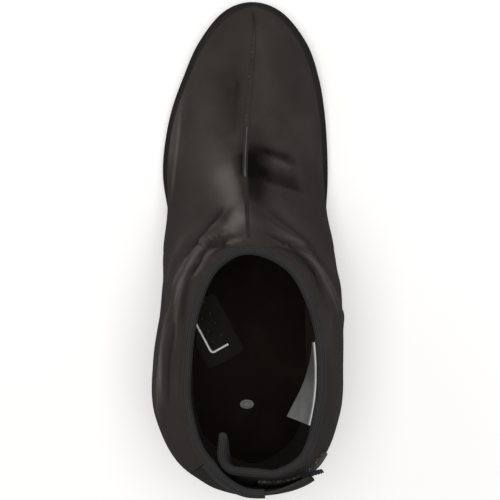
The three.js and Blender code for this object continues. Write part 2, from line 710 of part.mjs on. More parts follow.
function pullTabGeometry() {
  const station = FLAP_END + 0.02;
  const [point, normal] = [skinPoint(station, PULL_TAB_LEVEL), skinNormal(station, PULL_TAB_LEVEL)];
  const up = skinPoint(station, PULL_TAB_LEVEL + 0.01).sub(skinPoint(station, PULL_TAB_LEVEL - 0.01)).normalize();
  const forward = new THREE.Vector3().crossVectors(up, normal).normalize();
  const free = forward.clone().applyAxisAngle(up, -PULL_TAB_TURN);
  const base = point.addScaledVector(normal, flapStand({ station, row: TOP_ROW - 3 }) - 3 * GAP - PULL_TAB_THICKNESS);
  const columns = [-PULL_TAB_HOLD, 0, 2, 5, 7.5, PULL_TAB_LENGTH - PULL_TAB_HOLD].map((distance) => {
    const taper = smoothstep(5, PULL_TAB_LENGTH - PULL_TAB_HOLD + 1, distance);
    const half = (PULL_TAB_WIDTH / 2) * (1 - 0.6 * taper);
    return [-1, 0, 1].map((side) => ({
      point: base.clone().addScaledVector(distance > 0 ? free : forward, distance).addScaledVector(up, half * side),
      normal,
    }));
  });
  return patchSheet(columns, PULL_TAB_THICKNESS, 0);
}

// The triangles that close a band's end: its section is a hollow arch of fifteen corners.
const BAND_END = [
  [0, 1, 2], [0, 2, 14], [14, 2, 3], [14, 3, 13], [13, 3, 4], [13, 4, 5], [13, 5, 12],
  [12, 5, 6], [12, 6, 7], [12, 7, 8], [12, 8, 11], [11, 8, 9], [11, 9, 10],
];

// The binding: a folded band over an edge of the wall. Each step of its path has the edge's point,
// the point half way down its legs, the point where they end, and the wall's outer offset there.
function bandGeometry(path) {
  const rings = path.map(({ edge, middle, root, offset, room = BINDING_GAP }) => {
    const up = edge.point.clone().sub(root.point).normalize();
    const outside = offset + room;
    const inside = offset - WALL - room;
    const at = (end, across, rise) =>
      end.point.clone().addScaledVector(end.normal, across).addScaledVector(up, rise);
    return [
      at(root, outside, 0),
      at(root, outside + BINDING_WALL, 0),
      at(middle, outside + BINDING_WALL, 0),
      at(edge, outside + BINDING_WALL, 0),
      at(edge, outside + BINDING_WALL / 2, BINDING_GAP + BINDING_WALL * 0.8),
      at(edge, (outside + inside) / 2, BINDING_GAP + BINDING_WALL),
      at(edge, inside - BINDING_WALL / 2, BINDING_GAP + BINDING_WALL * 0.8),
      at(edge, inside - BINDING_WALL, 0),
      at(middle, inside - BINDING_WALL, 0),
      at(root, inside - BINDING_WALL, 0),
      at(root, inside, 0),
      at(middle, inside, 0),
      at(edge, inside, BINDING_GAP),
      at(edge, outside, BINDING_GAP),
      at(middle, outside, 0),
    ];
  });
  const count = rings[0].length;
  const triangles = [];
  for (let step = 1; step < rings.length; step += 1) {
    for (let corner = 0; corner < count; corner += 1) {
      const next = (corner + 1) % count;
      const [a, b] = [(step - 1) * count + corner, (step - 1) * count + next];
      const [c, d] = [step * count + next, step * count + corner];
      // The legs' quads are split along the same diagonals as the wall's between them.
      const turned = path[step].down ? [1, 2, 10, 11] : [7, 8, 13, 14];
      if (turned.includes(corner)) triangles.push([a, b, d], [b, c, d]);
      else triangles.push([a, b, c], [a, c, d]);
    }
  }
  const last = (rings.length - 1) * count;
  for (const [a, b, c] of BAND_END) triangles.push([a, c, b], [last + a, last + b, last + c]);
  return closedGeometry(rings.flat(), triangles);
}

// The vertex at a share of the way between two vertices, half way if none is given.
function halfway(a, b, share = 0.5) {
  const normal = a.normal.clone().lerp(b.normal, share).normalize();
  return { point: a.point.clone().lerp(b.point, share), normal };
}

// The collar's binding runs from the flap round the collar to the underlap, and down its edge.
function bindingGeometry() {
  const bandEnd = FLAP_SPAN * FLAP_BOUND;
  const path = [...between(-0.01, bandEnd - 0.05), 2 * HEEL_STATION + FLAP_START - bandEnd]
    .reverse()
    .map((station) => {
      const edge = flapVertex(station, TOP_ROW, FLAP_ROUNDING);
      const root = flapVertex(station, TOP_ROW - 1, FLAP_ROUNDING);
      return { edge, middle: halfway(edge, root), root, offset: flapStand(edge) + WALL };
    });
  const addRim = (station) => {
    const [edge, middle, root] = [0, 1, 2].map((drop) => vertexAt(station, TOP_ROW - drop));
    path.push({ edge, middle, root, offset: 0 });
  };
  const step = 1 / STEPS_PER_STATION;
  // Beside the instep seam the band's edge is drawn back, so that its legs can follow the seam.
  const addSide = (sign) => {
    addRim(sign * COLLAR_STATION);
    const side = path[path.length - 1];
    side.edge = halfway(side.edge, vertexAt(sign * (COLLAR_STATION + step), TOP_ROW));
  };
  const seamVertex = (distance) => {
    const station = COLLAR_STATION - distance / seamPoint(7).distanceTo(seamPoint(8));
    return { point: skinPoint(station, 1), normal: skinNormal(station, 1) };
  };
  STATIONS.filter((s) => s > SLIT_LEFT - 1e-6 && s < -COLLAR_STATION - 1e-6).forEach(addRim);
  addSide(-1);
  const front = vertexAt(COLLAR_STATION, TOP_ROW);
  front.normal.x = 0;
  front.normal.normalize();
  path.push({ edge: front, middle: seamVertex(BINDING_HEIGHT / 2), root: seamVertex(BINDING_HEIGHT), offset: 0 });
  addSide(1);
  STATIONS.filter((s) => s > COLLAR_STATION + 1e-6).forEach(addRim);
  const leg = 1 / (STEPS_PER_STATION * HEEL_STEPS);
  STATIONS.filter((s) => s < SLIT_RIGHT - 2 * leg - 1e-6).forEach(addRim);
  // At the underlap's corner the legs' ends crowd round one point while the edge turns down.
  const at = (legs, row) => vertexAt(SLIT_RIGHT - legs * leg, row);
  const rootRow = TOP_ROW - BINDING_ROWS;
  const [before, corner, below] = [at(3, rootRow), at(2, rootRow), at(2, rootRow - 1)];
  const turn = [
    [at(2, TOP_ROW), at(2, TOP_ROW - 1), halfway(corner, before, 0.2)],
    [at(1, TOP_ROW), at(1.5, TOP_ROW - 1), halfway(corner, before, 0.1)],
    [at(0, TOP_ROW), at(1, TOP_ROW - 1), corner],
    [at(0, TOP_ROW - 1), halfway(at(1, TOP_ROW - 1), at(1, rootRow)), halfway(corner, below, 0.1)],
    [at(0, rootRow), at(1, rootRow), halfway(corner, below, 0.2)],
  ];
  for (let row = rootRow - 1; row > SLIT_ROW; row -= 1) turn.push([at(0, row), at(1, row), at(2, row)]);
  turn.forEach(([edge, middle, root], index) => {
    path.push({ edge, middle, root, offset: 0, room: 1.5 * BINDING_GAP, down: index > 2 });
  });
  return bandGeometry(path);
}

// A raised seam: a narrow strip over the skin along a line of stations and levels.
function instepSeamGeometry() {
  const top = COLLAR_STATION - (BINDING_HEIGHT + 3 * GAP) / seamPoint(7).distanceTo(seamPoint(8));
  const stations = [...STATIONS.filter((s) => s > 1e-6 && s < top - 0.1), top];
  const columns = stations.map((station) => {
    const level = levelBelowCrest(station, SEAM_WIDTH / 2);
    return [[-station, level], [station, 1], [station, level]].map(([s, l]) => ({
      point: skinPoint(s, l),
      normal: skinNormal(s, l),
    }));
  });
  return patchSheet(columns, GAP + SEAM_THICKNESS, GAP);
}

function heelSeamGeometry() {
  const half = SEAM_WIDTH / 2 / 26;
  const rows = Array.from({ length: SLIT_ROW - RAND_ROWS }, (_, step) => RAND_ROWS + step);
  const columns = [-half, 0, half].map((side) =>
    rows.map((row) => {
      const station = HEEL_STATION + side;
      const level = rowLevels(HEEL_STATION)[row] + (row === RAND_ROWS ? 0.01 : 0);
      return { point: skinPoint(station, level), normal: skinNormal(station, level) };
    }),
  );
  return patchSheet(columns, GAP + SEAM_THICKNESS, GAP);
}

// The label: a folded leaf that hangs inside the right wall. At each step, from the front end to the
// back one, near and far say how far its two leaves swing in from the wall, as shares of LABEL_DROP.
const LABEL_STEPS = [
  { station: 10.7, near: 0.02, far: 0.06 },
  { station: 11.1, near: 0.05, far: 0.14 },
  { station: 11.5, near: 0.08, far: 0.24 },
  { station: 11.9, near: 0.12, far: 0.35 },
  { station: 12.3, near: 0.16, far: 0.46 },
];

function labelGeometry() {
  const hang = WALL + 2 * BINDING_GAP + BINDING_WALL + LABEL_THICKNESS;
  const rings = LABEL_STEPS.map(({ station, near, far }) => {
    const inward = skinNormal(station, 1).setZ(0).normalize().negate();
    const top = skinPoint(station, levelBelowCrest(station, 3)).addScaledVector(inward, hang);
    const at = (swing, drop) => {
      const point = top.clone().addScaledVector(inward, swing);
      point.z -= drop;
      return point;
    };
    const leaf = LABEL_THICKNESS;
    return [
      at(0, 0),
      at(LABEL_DROP * near, LABEL_DROP),
      at(LABEL_DROP * near + leaf, LABEL_DROP),
      at(leaf + 0.2, 3),
      at(LABEL_DROP * far + leaf, LABEL_DROP * 0.9),
      at(LABEL_DROP * far + 2 * leaf, LABEL_DROP * 0.9),
      at(2 * leaf + 0.2, 0),
    ];
  });
  const count = rings[0].length;
  const triangles = [];
  for (let step = 1; step < rings.length; step += 1) {
    for (let corner = 0; corner < count; corner += 1) {
      const next = (corner + 1) % count;
      const [a, b] = [(step - 1) * count + corner, (step - 1) * count + next];
      const [c, d] = [step * count + next, step * count + corner];
      triangles.push([a, b, c], [a, c, d]);
    }
  }
  const last = (rings.length - 1) * count;
  for (const [a, b, c] of [[0, 1, 2], [0, 2, 3], [0, 3, 6], [3, 4, 5], [3, 5, 6]]) {
    triangles.push([a, c, b], [last + a, last + b, last + c]);
  }
  return closedGeometry(rings.flat(), triangles);
}

// The sole patch: a rubber tongue bonded inside the sole under the arch, on its left half.
const PATCH_ALONG = 0.295; // the patch's middle, as a share of LENGTH
const PATCH_SIDE = -0.25; // and of BALL_WIDTH
const PATCH_TURN = THREE.MathUtils.degToRad(28);
const PATCH_CORNER = 4;

function patchGeometry() {
  const [halfLength, halfWidth] = [PATCH_LENGTH / 2, PATCH_WIDTH / 2];
  const columns = [];
  const ends = [0, 0.3, 1].map((share) => PATCH_CORNER * share);
  const stops = [...ends.map((end) => end - halfLength), -9, 0, 9, ...ends.map((end) => halfLength - end).reverse()];
  const centre = new THREE.Vector3(BALL_WIDTH * PATCH_SIDE, LENGTH * (PATCH_ALONG - 0.5), 0);
  for (const along of stops) {
    const left = Math.max(0, PATCH_CORNER - (halfLength - Math.abs(along)));
    const reach = halfWidth - PATCH_CORNER + Math.sqrt(PATCH_CORNER ** 2 - left ** 2);
    columns.push(
      [-1, 0, 1].map((side) => {
        const point = new THREE.Vector3(side * reach, along, 0);
        point.applyAxisAngle(new THREE.Vector3(0, 0, 1), PATCH_TURN).add(centre);
        point.z = soleTop(point.y);
        return { point, normal: new THREE.Vector3(0, 0, 1) };
      }),
    );
  }
  const whole = solidOf(patchSheet(columns, 2 * GAP + PATCH_THICKNESS, 2 * GAP));
  const inside = [0, COLLAR_HEIGHT].map((height) => soleRing(-PATCH_INSET, () => height));
  return geometryOf(whole.intersect(solidOf(ringSolid(inside))));
}

const overshoe = new THREE.Group();
overshoe.name = "cycling_overshoe";

function addPiece(name, geometry, colour, roughness) {
  const material = new THREE.MeshStandardMaterial({ color: colour, roughness, metalness: 0 });
  const mesh = new THREE.Mesh(geometry, material);
  mesh.name = name;
  overshoe.add(mesh);
}

addPiece("upper", upperGeometry(), COLOURS.membrane, 0.55);
addPiece("sole", soleGeometry(), COLOURS.rubber, 0.8);
addPiece("collar_binding", bindingGeometry(), COLOURS.binding, 0.85);
addPiece("closure_flap", flapGeometry(), COLOURS.membrane, 0.55);
addPiece("hook_tape", hookTapeGeometry(), COLOURS.tape, 0.9);
addPiece("loop_tape", loopTapeGeometry(), COLOURS.tape, 0.95);
addPiece("pull_tab", pullTabGeometry(), COLOURS.tab, 0.5);
addPiece("instep_seam", instepSeamGeometry(), COLOURS.membrane, 0.6);
addPiece("heel_seam", heelSeamGeometry(), COLOURS.membrane, 0.6);
addPiece("care_label", labelGeometry(), COLOURS.label, 0.7);
addPiece("sole_patch", patchGeometry(), COLOURS.rubber, 0.7);
addPiece("heel_plug", plugGeometry(), COLOURS.plug, 0.6);

// The frame's origin is under the middle of the whole part.
const bounds = new THREE.Box3().setFromObject(overshoe);
const middle = bounds.getCenter(new THREE.Vector3());
overshoe.position.set(-middle.x, -middle.y, -bounds.min.z);

export default overshoe;
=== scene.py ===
"""A left cycling overshoe, seen from straight above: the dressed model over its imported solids."""

import logging
import math
from dataclasses import dataclass, field
from enum import Enum

import bpy
import numpy as np
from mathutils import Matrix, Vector


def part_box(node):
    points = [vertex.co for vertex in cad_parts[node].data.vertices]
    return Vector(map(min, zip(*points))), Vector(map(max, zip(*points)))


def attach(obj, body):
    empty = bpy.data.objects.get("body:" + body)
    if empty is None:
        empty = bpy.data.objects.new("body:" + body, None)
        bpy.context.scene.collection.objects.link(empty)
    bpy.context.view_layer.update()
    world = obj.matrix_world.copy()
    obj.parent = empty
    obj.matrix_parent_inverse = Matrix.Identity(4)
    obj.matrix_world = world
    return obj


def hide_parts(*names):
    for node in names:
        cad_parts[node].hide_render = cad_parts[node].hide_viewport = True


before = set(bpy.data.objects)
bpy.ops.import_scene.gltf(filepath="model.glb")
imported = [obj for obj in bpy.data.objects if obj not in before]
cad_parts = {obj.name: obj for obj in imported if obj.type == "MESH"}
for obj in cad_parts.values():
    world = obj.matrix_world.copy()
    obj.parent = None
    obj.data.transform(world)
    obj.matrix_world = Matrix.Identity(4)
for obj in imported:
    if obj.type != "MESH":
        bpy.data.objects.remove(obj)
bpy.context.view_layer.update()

LOG = logging.getLogger("overshoe")
MM = 0.001
# the skin's rows, counted from 0 at the sole line
RAND_STEP, RAND_TOP, BAND_FOOT, CREST = 1, 3, 11, 13
# how many halvings find a level, and how many points the sole's outline is read at
BISECTIONS = 26
OUTLINE_STEPS = 300
# vertices closer than these, in millimetres, are merged, on most pieces and on the finest ones
WELD, FINE_WELD = 0.02, 0.004


def smoothstep(low: float, high: float, value: np.ndarray) -> np.ndarray:
    """A soft step between two values.

    Args:
        low: Where the step starts.
        high: Where it ends, which may be below low.
        value: The values to step.

    Returns:
        0 before the step, 1 after it, and a smooth rise between.
    """
    t = np.clip((np.asarray(value, float) - low) / (high - low), 0.0, 1.0)
    return t * t * (3 - 2 * t)


def unit(vectors: np.ndarray) -> np.ndarray:
    """The vectors at length one."""
    return vectors / np.maximum(np.linalg.norm(vectors, axis=-1, keepdims=True), 1e-12)


@dataclass
class Last:
    """The overshoe's skin, in millimetres: the same sizes and tables as the solids are made from.

    A station counts from 0 at the toe to 14 at the heel, positive on the right side and negative on
    the left. A level runs from 0 at the sole line to 1 at the crest, which is the instep seam in
    front and the collar behind.
    """

    length: float = 296
    ball_width: float = 101
    collar_height: float = 166
    collar_drop: float = 9
    collar_length: float = 134
    collar_width: float = 80
    collar_front: float = -7.5
    shaft_bulge: float = 24
    vamp_width: float = 28
    wall: float = 1.5
    gap: float = 0.3
    sole_thickness: float = 2.4
    lug_height: float = 2
    toe_spring: float = 9
    heel_spring: float = 2
    arch_rise: float = 2.5
    rand_height: float = 13
    rand_foot_height: float = 6
    binding_height: float = 8.5
    slit_depth: float = 74
    underlap_tuck: float = 6.5
    curl_straight: float = 21
    curl_slope: float = 0.08
    curl_radius: float = 10
    curl_length: float = 46
    curl_stations: float = 1
    flap_stand: float = 5
    flap_foot_stand: float = 3.8
    flap_lift: float = 1.6
    flap_end: float = 13.1
    flap_rounding: float = 0.5
    flap_bound: float = 0.58
    # the flap's foot above the slit's end, how it closes in at its round end, and how it leaves the wall
    flap_low: float = 0.012
    flap_close: float = 0.3
    flap_curve: float = 2.2
    flap_leave: float = 0.4
    flap_rise: float = 0.85
    flap_sink: float = 0.6
    # where the underlap is tucked in, and how far its top corner is cut back
    tuck_from: float = 12
    tuck_stations: float = 1.9
    tuck_rows: int = 4
    corner_drop: float = 0.06
    plug_along: float = 0.134
    plug_side: float = -0.02
    collar_station: int = 8
    heel_station: int = 14
    slit_left: float = -13
    slit_right: float = -13 - 1 / 3

    # along is a share of length from the heel, left and right are shares of ball_width
    sole_line: dict[str, list[float]] = field(default_factory=lambda: {
        "along": [1, 0.98, 0.917, 0.846, 0.779, 0.711, 0.639, 0.557, 0.473, 0.385, 0.297, 0.209, 0.128, 0.049, 0],
        "left": [0.012, -0.16, -0.308, -0.402, -0.474, -0.515, -0.53, -0.482, -0.43, -0.39, -0.378, -0.382,
                 -0.366, -0.272, 0.02],
        "right": [0.012, 0.19, 0.34, 0.414, 0.449, 0.465, 0.47, 0.444, 0.406, 0.376, 0.37, 0.376, 0.364, 0.272,
                  0.02],
    })
    # height is a share of collar_height
    instep_seam: dict[str, list[float]] = field(default_factory=lambda: {
        "along": [0.975, 0.945, 0.889, 0.828, 0.765, 0.703, 0.638, 0.564, 0.475],
        "side": [0.022, 0.026, 0.02, 0.005, -0.01, -0.023, -0.03, -0.02, -0.008],
        "height": [0.158, 0.218, 0.27, 0.31, 0.354, 0.414, 0.504, 0.672, 1.0],
    })
    # back is a share of collar_length, left and right are shares of collar_width
    collar: dict[str, list[float]] = field(default_factory=lambda: {
        "back": [0, 0.075, 0.25, 0.46, 0.69, 0.905, 1.0],
        "left": [-0.01, -0.255, -0.39, -0.448, -0.445, -0.305, 0.06],
        "right": [-0.01, 0.285, 0.45, 0.515, 0.495, 0.37, 0.06],
    })
    swell: dict[str, list[float]] = field(default_factory=lambda: {
        "low_out": [0.14, 0.13, 0.12, 0.11, 0.1, 0.12, 0.14, 0.62, 1.28, 1.24, 1.04, 1.0, 0.92, 0.55, 0.25],
        "low_up": [0.05, 0.08, 0.11, 0.135, 0.155, 0.175, 0.2, 0.27, 0.33, 0.34, 0.34, 0.34, 0.34, 0.33, 0.3],
        "high_left": [0.27, 0.36, 0.6, 0.78, 0.9, 0.98, 1.0, 1.05, 1.25, 1.2, 1.24, 1.4, 1.46, 1.2, 0.42],
        "high_right": [0.27, 0.36, 0.6, 0.78, 0.9, 0.98, 1.0, 1.05, 1.4, 1.4, 1.14, 0.88, 0.92, 0.92, 0.42],
        "fore": [0, 0, 0, 0, 0, 0.01, 0.025, 0.05, 0.07, 0.05, 0.02, 0, 0, 0, 0],
        "high_down": [0.018, 0.014, 0.02, 0.026, 0.034, 0.05, 0.08, 0.16, 0.24, 0.28, 0.3, 0.31, 0.31, 0.3, 0.3],
    })

    def __post_init__(self) -> None:
        """Carries each table round the loop, so that any station can be read from it."""
        turn, margin = self.turn, 3
        self._first = -self.heel_station - margin
        stations = np.arange(self._first, self.heel_station + margin + 1)
        wrapped = (stations + self.heel_station + turn) % turn - self.heel_station
        rows, right = np.abs(wrapped), wrapped >= 0

        def both(left: list[float], other: list[float]) -> np.ndarray:
            """One value for each station, from the table of its own side."""
            return np.where(right, np.array(other, float)[rows], np.array(left, float)[rows])

        sole, swell = self.sole_line, self.swell
        self._loop = {
            "along": both(sole["along"], sole["along"]),
            "side": both(sole["left"], sole["right"]),
            "low_out": both(swell["low_out"], swell["low_out"]),
            "low_up": both(swell["low_up"], swell["low_up"]),
            "high_out": both(swell["high_left"], swell["high_right"]),
            "fore": both(swell["fore"], swell["fore"]),
            "high_down": both(swell["high_down"], swell["high_down"]),
        }
        self._seam = {
            name: np.array([2 * row[0] - row[1], *row, 2 * row[-1] - row[-2]], float)
            for name, row in self.instep_seam.items()
        }
        back, left, other = (self.collar[name] for name in ("back", "left", "right"))
        self._collar = {
            (name, side): np.array([far[1], *near, far[-2], far[-3]], float)
            for side, sides in ((1, (other, left)), (-1, (left, other)))
            for name, near, far in (("back", back, back), ("side", *sides))
        }

    @property
    def turn(self) -> int:
        """The stations in a full turn."""
        return 2 * self.heel_station

    @property
    def sole_level(self) -> float:
        """The height of the sole line over the flat tread."""
        return self.lug_height + self.sole_thickness + self.gap

    @property
    def slit_end(self) -> float:
        """The underlap's edge, counted on past the heel from the right side."""
        return self.slit_right + self.turn

    @property
    def flap_start(self) -> float:
        """The station of the flap's sewn edge."""
        return self.slit_left - self.gap / 30

    @property
    def flap_span(self) -> float:
        """How many stations the flap covers."""
        return float(self.past_seam(self.flap_end))

    @staticmethod
    def cubic(values: np.ndarray, first: int, place: np.ndarray) -> np.ndarray:
        """A smooth curve through evenly spaced values, read at a place.

        Args:
            values: The values, one for each whole number.
            first: The whole number of the first value.
            place: Where to read the curve.

        Returns:
            The curve's value at each place.
        """
        base = np.floor(place)
        t = place - base
        at = (base - first).astype(int)
        a, b, c, d = (values[np.clip(at + step, 0, len(values) - 1)] for step in (-1, 0, 1, 2))
        rise, fall = (c - a) / 2, (d - b) / 2
        return b + t * (rise + t * (3 * (c - b) - 2 * rise - fall + t * (2 * (b - c) + rise + fall)))

    def _wrap(self, station: np.ndarray) -> np.ndarray:
        """The station between -14 and 14 that is the same place."""
        return (np.asarray(station, float) + self.heel_station) % self.turn - self.heel_station

    def _read(self, name: str, station: np.ndarray) -> np.ndarray:
        """One of the loop's tables at a station."""
        return self.cubic(self._loop[name], self._first, station)

    def sole_rise(self, y: np.ndarray) -> np.ndarray:
        """How far the sole lifts off the flat tread at y: the toe spring, the heel and the arch."""
        along = y / self.length + 0.5
        toe = smoothstep(0.7, 1.12, along) / smoothstep(0.7, 1.12, 1.0) * self.toe_spring
        heel = smoothstep(0.12, -0.08, along) / smoothstep(0.12, -0.08, 0.0) * self.heel_spring
        arch = smoothstep(0.26, 0.42, along) * smoothstep(0.6, 0.46, along) * self.arch_rise
        return toe + heel + arch

    def sole_bottom(self, y: np.ndarray) -> np.ndarray:
        """The height of the sole's underside between its bars."""
        return self.lug_height + self.sole_rise(y)

    def sole_top(self, y: np.ndarray) -> np.ndarray:
        """The height of the sole's inner face."""
        return self.sole_bottom(y) + self.sole_thickness

    def foot(self, station: np.ndarray) -> np.ndarray:
        """The skin's points on the sole line."""
        s = self._wrap(station)
        y = self.length * (self._read("along", s) - 0.5)
        return np.stack([self.ball_width * self._read("side", s), y, self.sole_top(y) + self.gap], -1)

    def outward(self, station: np.ndarray) -> np.ndarray:
        """The level direction away from the shoe."""
        ahead, behind = self.foot(station + 0.05), self.foot(station - 0.05)
        along = ahead - behind
        return unit(np.stack([-along[..., 1], along[..., 0], np.zeros_like(along[..., 0])], -1))

    def edge_x(self, y: np.ndarray, side: int, inset: float) -> np.ndarray:
        """Where the sole's outline lies across the shoe, drawn in by an inset.

        Args:
            y: The places along the shoe.
            side: 1 for the right edge, -1 for the left one.
            inset: How far the outline is drawn in.

        Returns:
            The edge's x at each y.
        """
        s = side * np.linspace(0.01, self.heel_station - 0.01, OUTLINE_STEPS)
        edge = self.foot(s) - self.outward(s) * inset
        order = np.argsort(edge[:, 1])
        return np.interp(y, edge[order, 1], edge[order, 0])

    def crest(self, station: np.ndarray) -> np.ndarray:
        """The skin's points on the instep seam, and behind it on the collar."""
        s = self._wrap(station)
        floor = self.sole_level
        place = np.minimum(np.abs(s), self.collar_station - 1e-9)
        seam = {name: self.cubic(row, -1, place) for name, row in self._seam.items()}
        front = np.stack([self.ball_width * seam["side"], self.length * (seam["along"] - 0.5),
                          floor + self.collar_height * seam["height"]], -1)
        place = np.maximum(np.abs(s) - self.collar_station, 0)
        back, side = (
            np.where(s > 0, self.cubic(self._collar[name, 1], -1, place),
                     self.cubic(self._collar[name, -1], -1, place))
            for name in ("back", "side")
        )
        rear = np.stack([self.collar_width * side, self.collar_front - self.collar_length * back,
                         floor + self.collar_height - self.collar_drop * back], -1)
        return np.where((np.abs(s) >= self.collar_station)[..., None], rear, front)

    def points(self, station: np.ndarray, level: np.ndarray) -> np.ndarray:
        """The skin's points at stations and levels of one shape."""
        station, level = np.broadcast_arrays(np.asarray(station, float), np.asarray(level, float))
        s = self._wrap(station)
        start, end, out = self.foot(s), self.crest(s), self.outward(s)
        share = smoothstep(self.collar_station - 2, self.collar_station + 1, np.abs(s))
        reach = self.vamp_width + (self.shaft_bulge - self.vamp_width) * share
        low = start + out * (reach * self._read("low_out", s))[..., None]
        low[..., 2] += self.collar_height * self._read("low_up", s)
        high = end + out * (reach * self._read("high_out", s))[..., None]
        high[..., 1] += self.collar_length * self._read("fore", s)
        high[..., 2] -= self.collar_height * self._read("high_down", s)
        t = level[..., None]
        return (1 - t) ** 3 * start + 3 * t * (1 - t) ** 2 * low + 3 * t**2 * (1 - t) * high + t**3 * end

    def _one_sided(self, station: np.ndarray, level: np.ndarray) -> np.ndarray:
        """The outward normal, read on the station's own side of the collar's front."""
        s, step = self._wrap(station), 0.02
        size, sign = np.abs(s), np.where(s < 0, -1.0, 1.0)
        rear = size >= self.collar_station
        near = np.where(rear, np.maximum(size - step, self.collar_station), size - step) * sign
        far = np.where(rear, size + step, np.minimum(size + step, self.collar_station - 1e-6)) * sign
        low = np.minimum(level, 1 - step)
        around = (self.points(far, low) - self.points(near, low)) * sign[..., None]
        up = self.points(s, low + step) - self.points(s, np.maximum(0, low - step))
        return unit(np.cross(up, around))

    def normals(self, station: np.ndarray, level: np.ndarray) -> np.ndarray:
        """The outward normals. Both sides share them on the instep seam."""
        station, level = np.broadcast_arrays(np.asarray(station, float), np.asarray(level, float))
        own = self._one_sided(station, level)
        shared = (np.abs(self._wrap(station)) < self.collar_station) & (level > 1 - 1e-6)
        both = unit(own + self._one_sided(-station, level))
        return np.where(shared[..., None], both, own)

    def level_at_height(self, station: np.ndarray, height: np.ndarray) -> np.ndarray:
        """The level at a height above the sole line."""
        station, height = np.broadcast_arrays(np.asarray(station, float), np.asarray(height, float))
        start = self.points(station, 0.0)[..., 2]
        low, high = np.zeros(station.shape), np.full(station.shape, 0.6)
        for _ in range(BISECTIONS):
            middle = (low + high) / 2
            below = self.points(station, middle)[..., 2] - start < height
            low, high = np.where(below, middle, low), np.where(below, high, middle)
        return low

    def level_below_crest(self, station: np.ndarray, distance: float) -> np.ndarray:
        """The level at a distance along the skin below the crest."""
        station = np.asarray(station, float)
        crest = self.points(station, 1.0)
        low, high = np.full(station.shape, 0.5), np.ones(station.shape)
        for _ in range(BISECTIONS):
            middle = (low + high) / 2
            far = np.linalg.norm(self.points(station, middle) - crest, axis=-1) > distance
            low, high = np.where(far, middle, low), np.where(far, high, middle)
        return high

    def rand_levels(self, station: np.ndarray) -> tuple[np.ndarray, np.ndarray]:
        """The levels of the rand's foot step and of its top edge."""
        rise = self.crest(station)[..., 2] - self.foot(station)[..., 2]
        shrink = np.minimum(1, 0.55 * rise / self.rand_height)
        return (self.level_at_height(station, self.rand_foot_height * shrink),
                self.level_at_height(station, self.rand_height * shrink))

    def row_level(self, station: np.ndarray, row: np.ndarray) -> np.ndarray:
        """The level of a row, which need not be whole."""
        station, row = np.asarray(station, float), np.asarray(row, float)
        rows = (0, RAND_STEP, RAND_TOP, BAND_FOOT, CREST)
        levels = (0.0, *self.rand_levels(station), self.level_below_crest(station, self.binding_height), 1.0)
        level = 0.0
        for start, end, low, high in zip(rows, rows[1:], levels, levels[1:]):
            level = level + (high - low) * np.clip(row - start, 0, end - start) / (end - start)
        return level

    def past_edge(self, station: np.ndarray) -> np.ndarray:
        """How far a station lies from the underlap's edge, to the right."""
        s = np.asarray(station, float)
        return np.where(s < 0, self.slit_right - s, self.slit_end - s)

    def _tucked(self, station: np.ndarray, row: np.ndarray) -> tuple[np.ndarray, np.ndarray]:
        """The upper's outer face with the underlap tucked in, before the underlap's end curls."""
        row = np.asarray(row, float)
        s = self._wrap(station)
        behind = (s > self.tuck_from) | (s <= self.slit_right + 1e-6)
        past = self.past_edge(s)
        slit = self.slit_row
        drop = self.corner_drop * (1 - smoothstep(0, 0.5, past)) * smoothstep(slit, CREST, row)
        level = self.row_level(s, row) * (1 - drop * (s < 0) * behind)
        tuck = self.underlap_tuck * (1 - smoothstep(0, self.tuck_stations, past))
        tuck = tuck * smoothstep(slit, slit + self.tuck_rows, row)
        normal = self.normals(s, level)
        return self.points(s, level) - normal * (tuck * behind)[..., None], normal

    def wall_grid(self, station: np.ndarray, row: np.ndarray) -> tuple[np.ndarray, np.ndarray]:
        """The upper's outer face at stations and rows of one shape: the underlap's end curls forward into the shoe.

        Args:
            station: The stations.
            row: The rows, which need not be whole.

        Returns:
            The points and their outward normals.
        """
        points, normals = self._tucked(station, row)
        s, row = np.broadcast_arrays(self._wrap(station), np.asarray(row, float))
        share = 1 - self.past_edge(s) / self.curl_stations
        inner = (s > 0) | (s <= self.slit_right + 1e-6)
        curled = (np.abs(s) > -self.slit_left) & inner & (row > self.slit_row) & (share > 0)
        if not curled.any():
            return points, normals
        points, normals = np.array(points), np.array(normals)
        s, row, ran = s[curled], row[curled], share[curled] * self.curl_length
        start, _ = self._tucked(np.full(s.shape, self.slit_end - self.curl_stations), row)
        out = unit(np.array([-self.curl_slope, -1.0, 0.0]))
        along = np.array([out[1], -out[0], 0.0])
        angle = np.minimum(np.maximum(0, ran - self.curl_straight) / self.curl_radius, math.pi / 2)
        ahead = np.minimum(ran, self.curl_straight) + self.curl_radius * np.sin(angle)
        inward = self.curl_radius * (1 - np.cos(angle))
        inward = inward + np.maximum(0, ran - self.curl_straight - self.curl_radius * math.pi / 2)
        bent = start + ahead[:, None] * along - inward[:, None] * out
        bent[:, 2] = points[curled][:, 2]
        turned = np.cos(angle)[:, None] * out + np.sin(angle)[:, None] * along
        low = self.row_level(s, float(self.slit_row))
        amount = ((self.row_level(s, row) - low) / (1 - low))[:, None]
        points[curled] += (bent - points[curled]) * amount
        amount = amount * smoothstep(0, 0.4, share[curled])[:, None]
        normals[curled] = unit(normals[curled] + (turned - normals[curled]) * amount)
        return points, normals

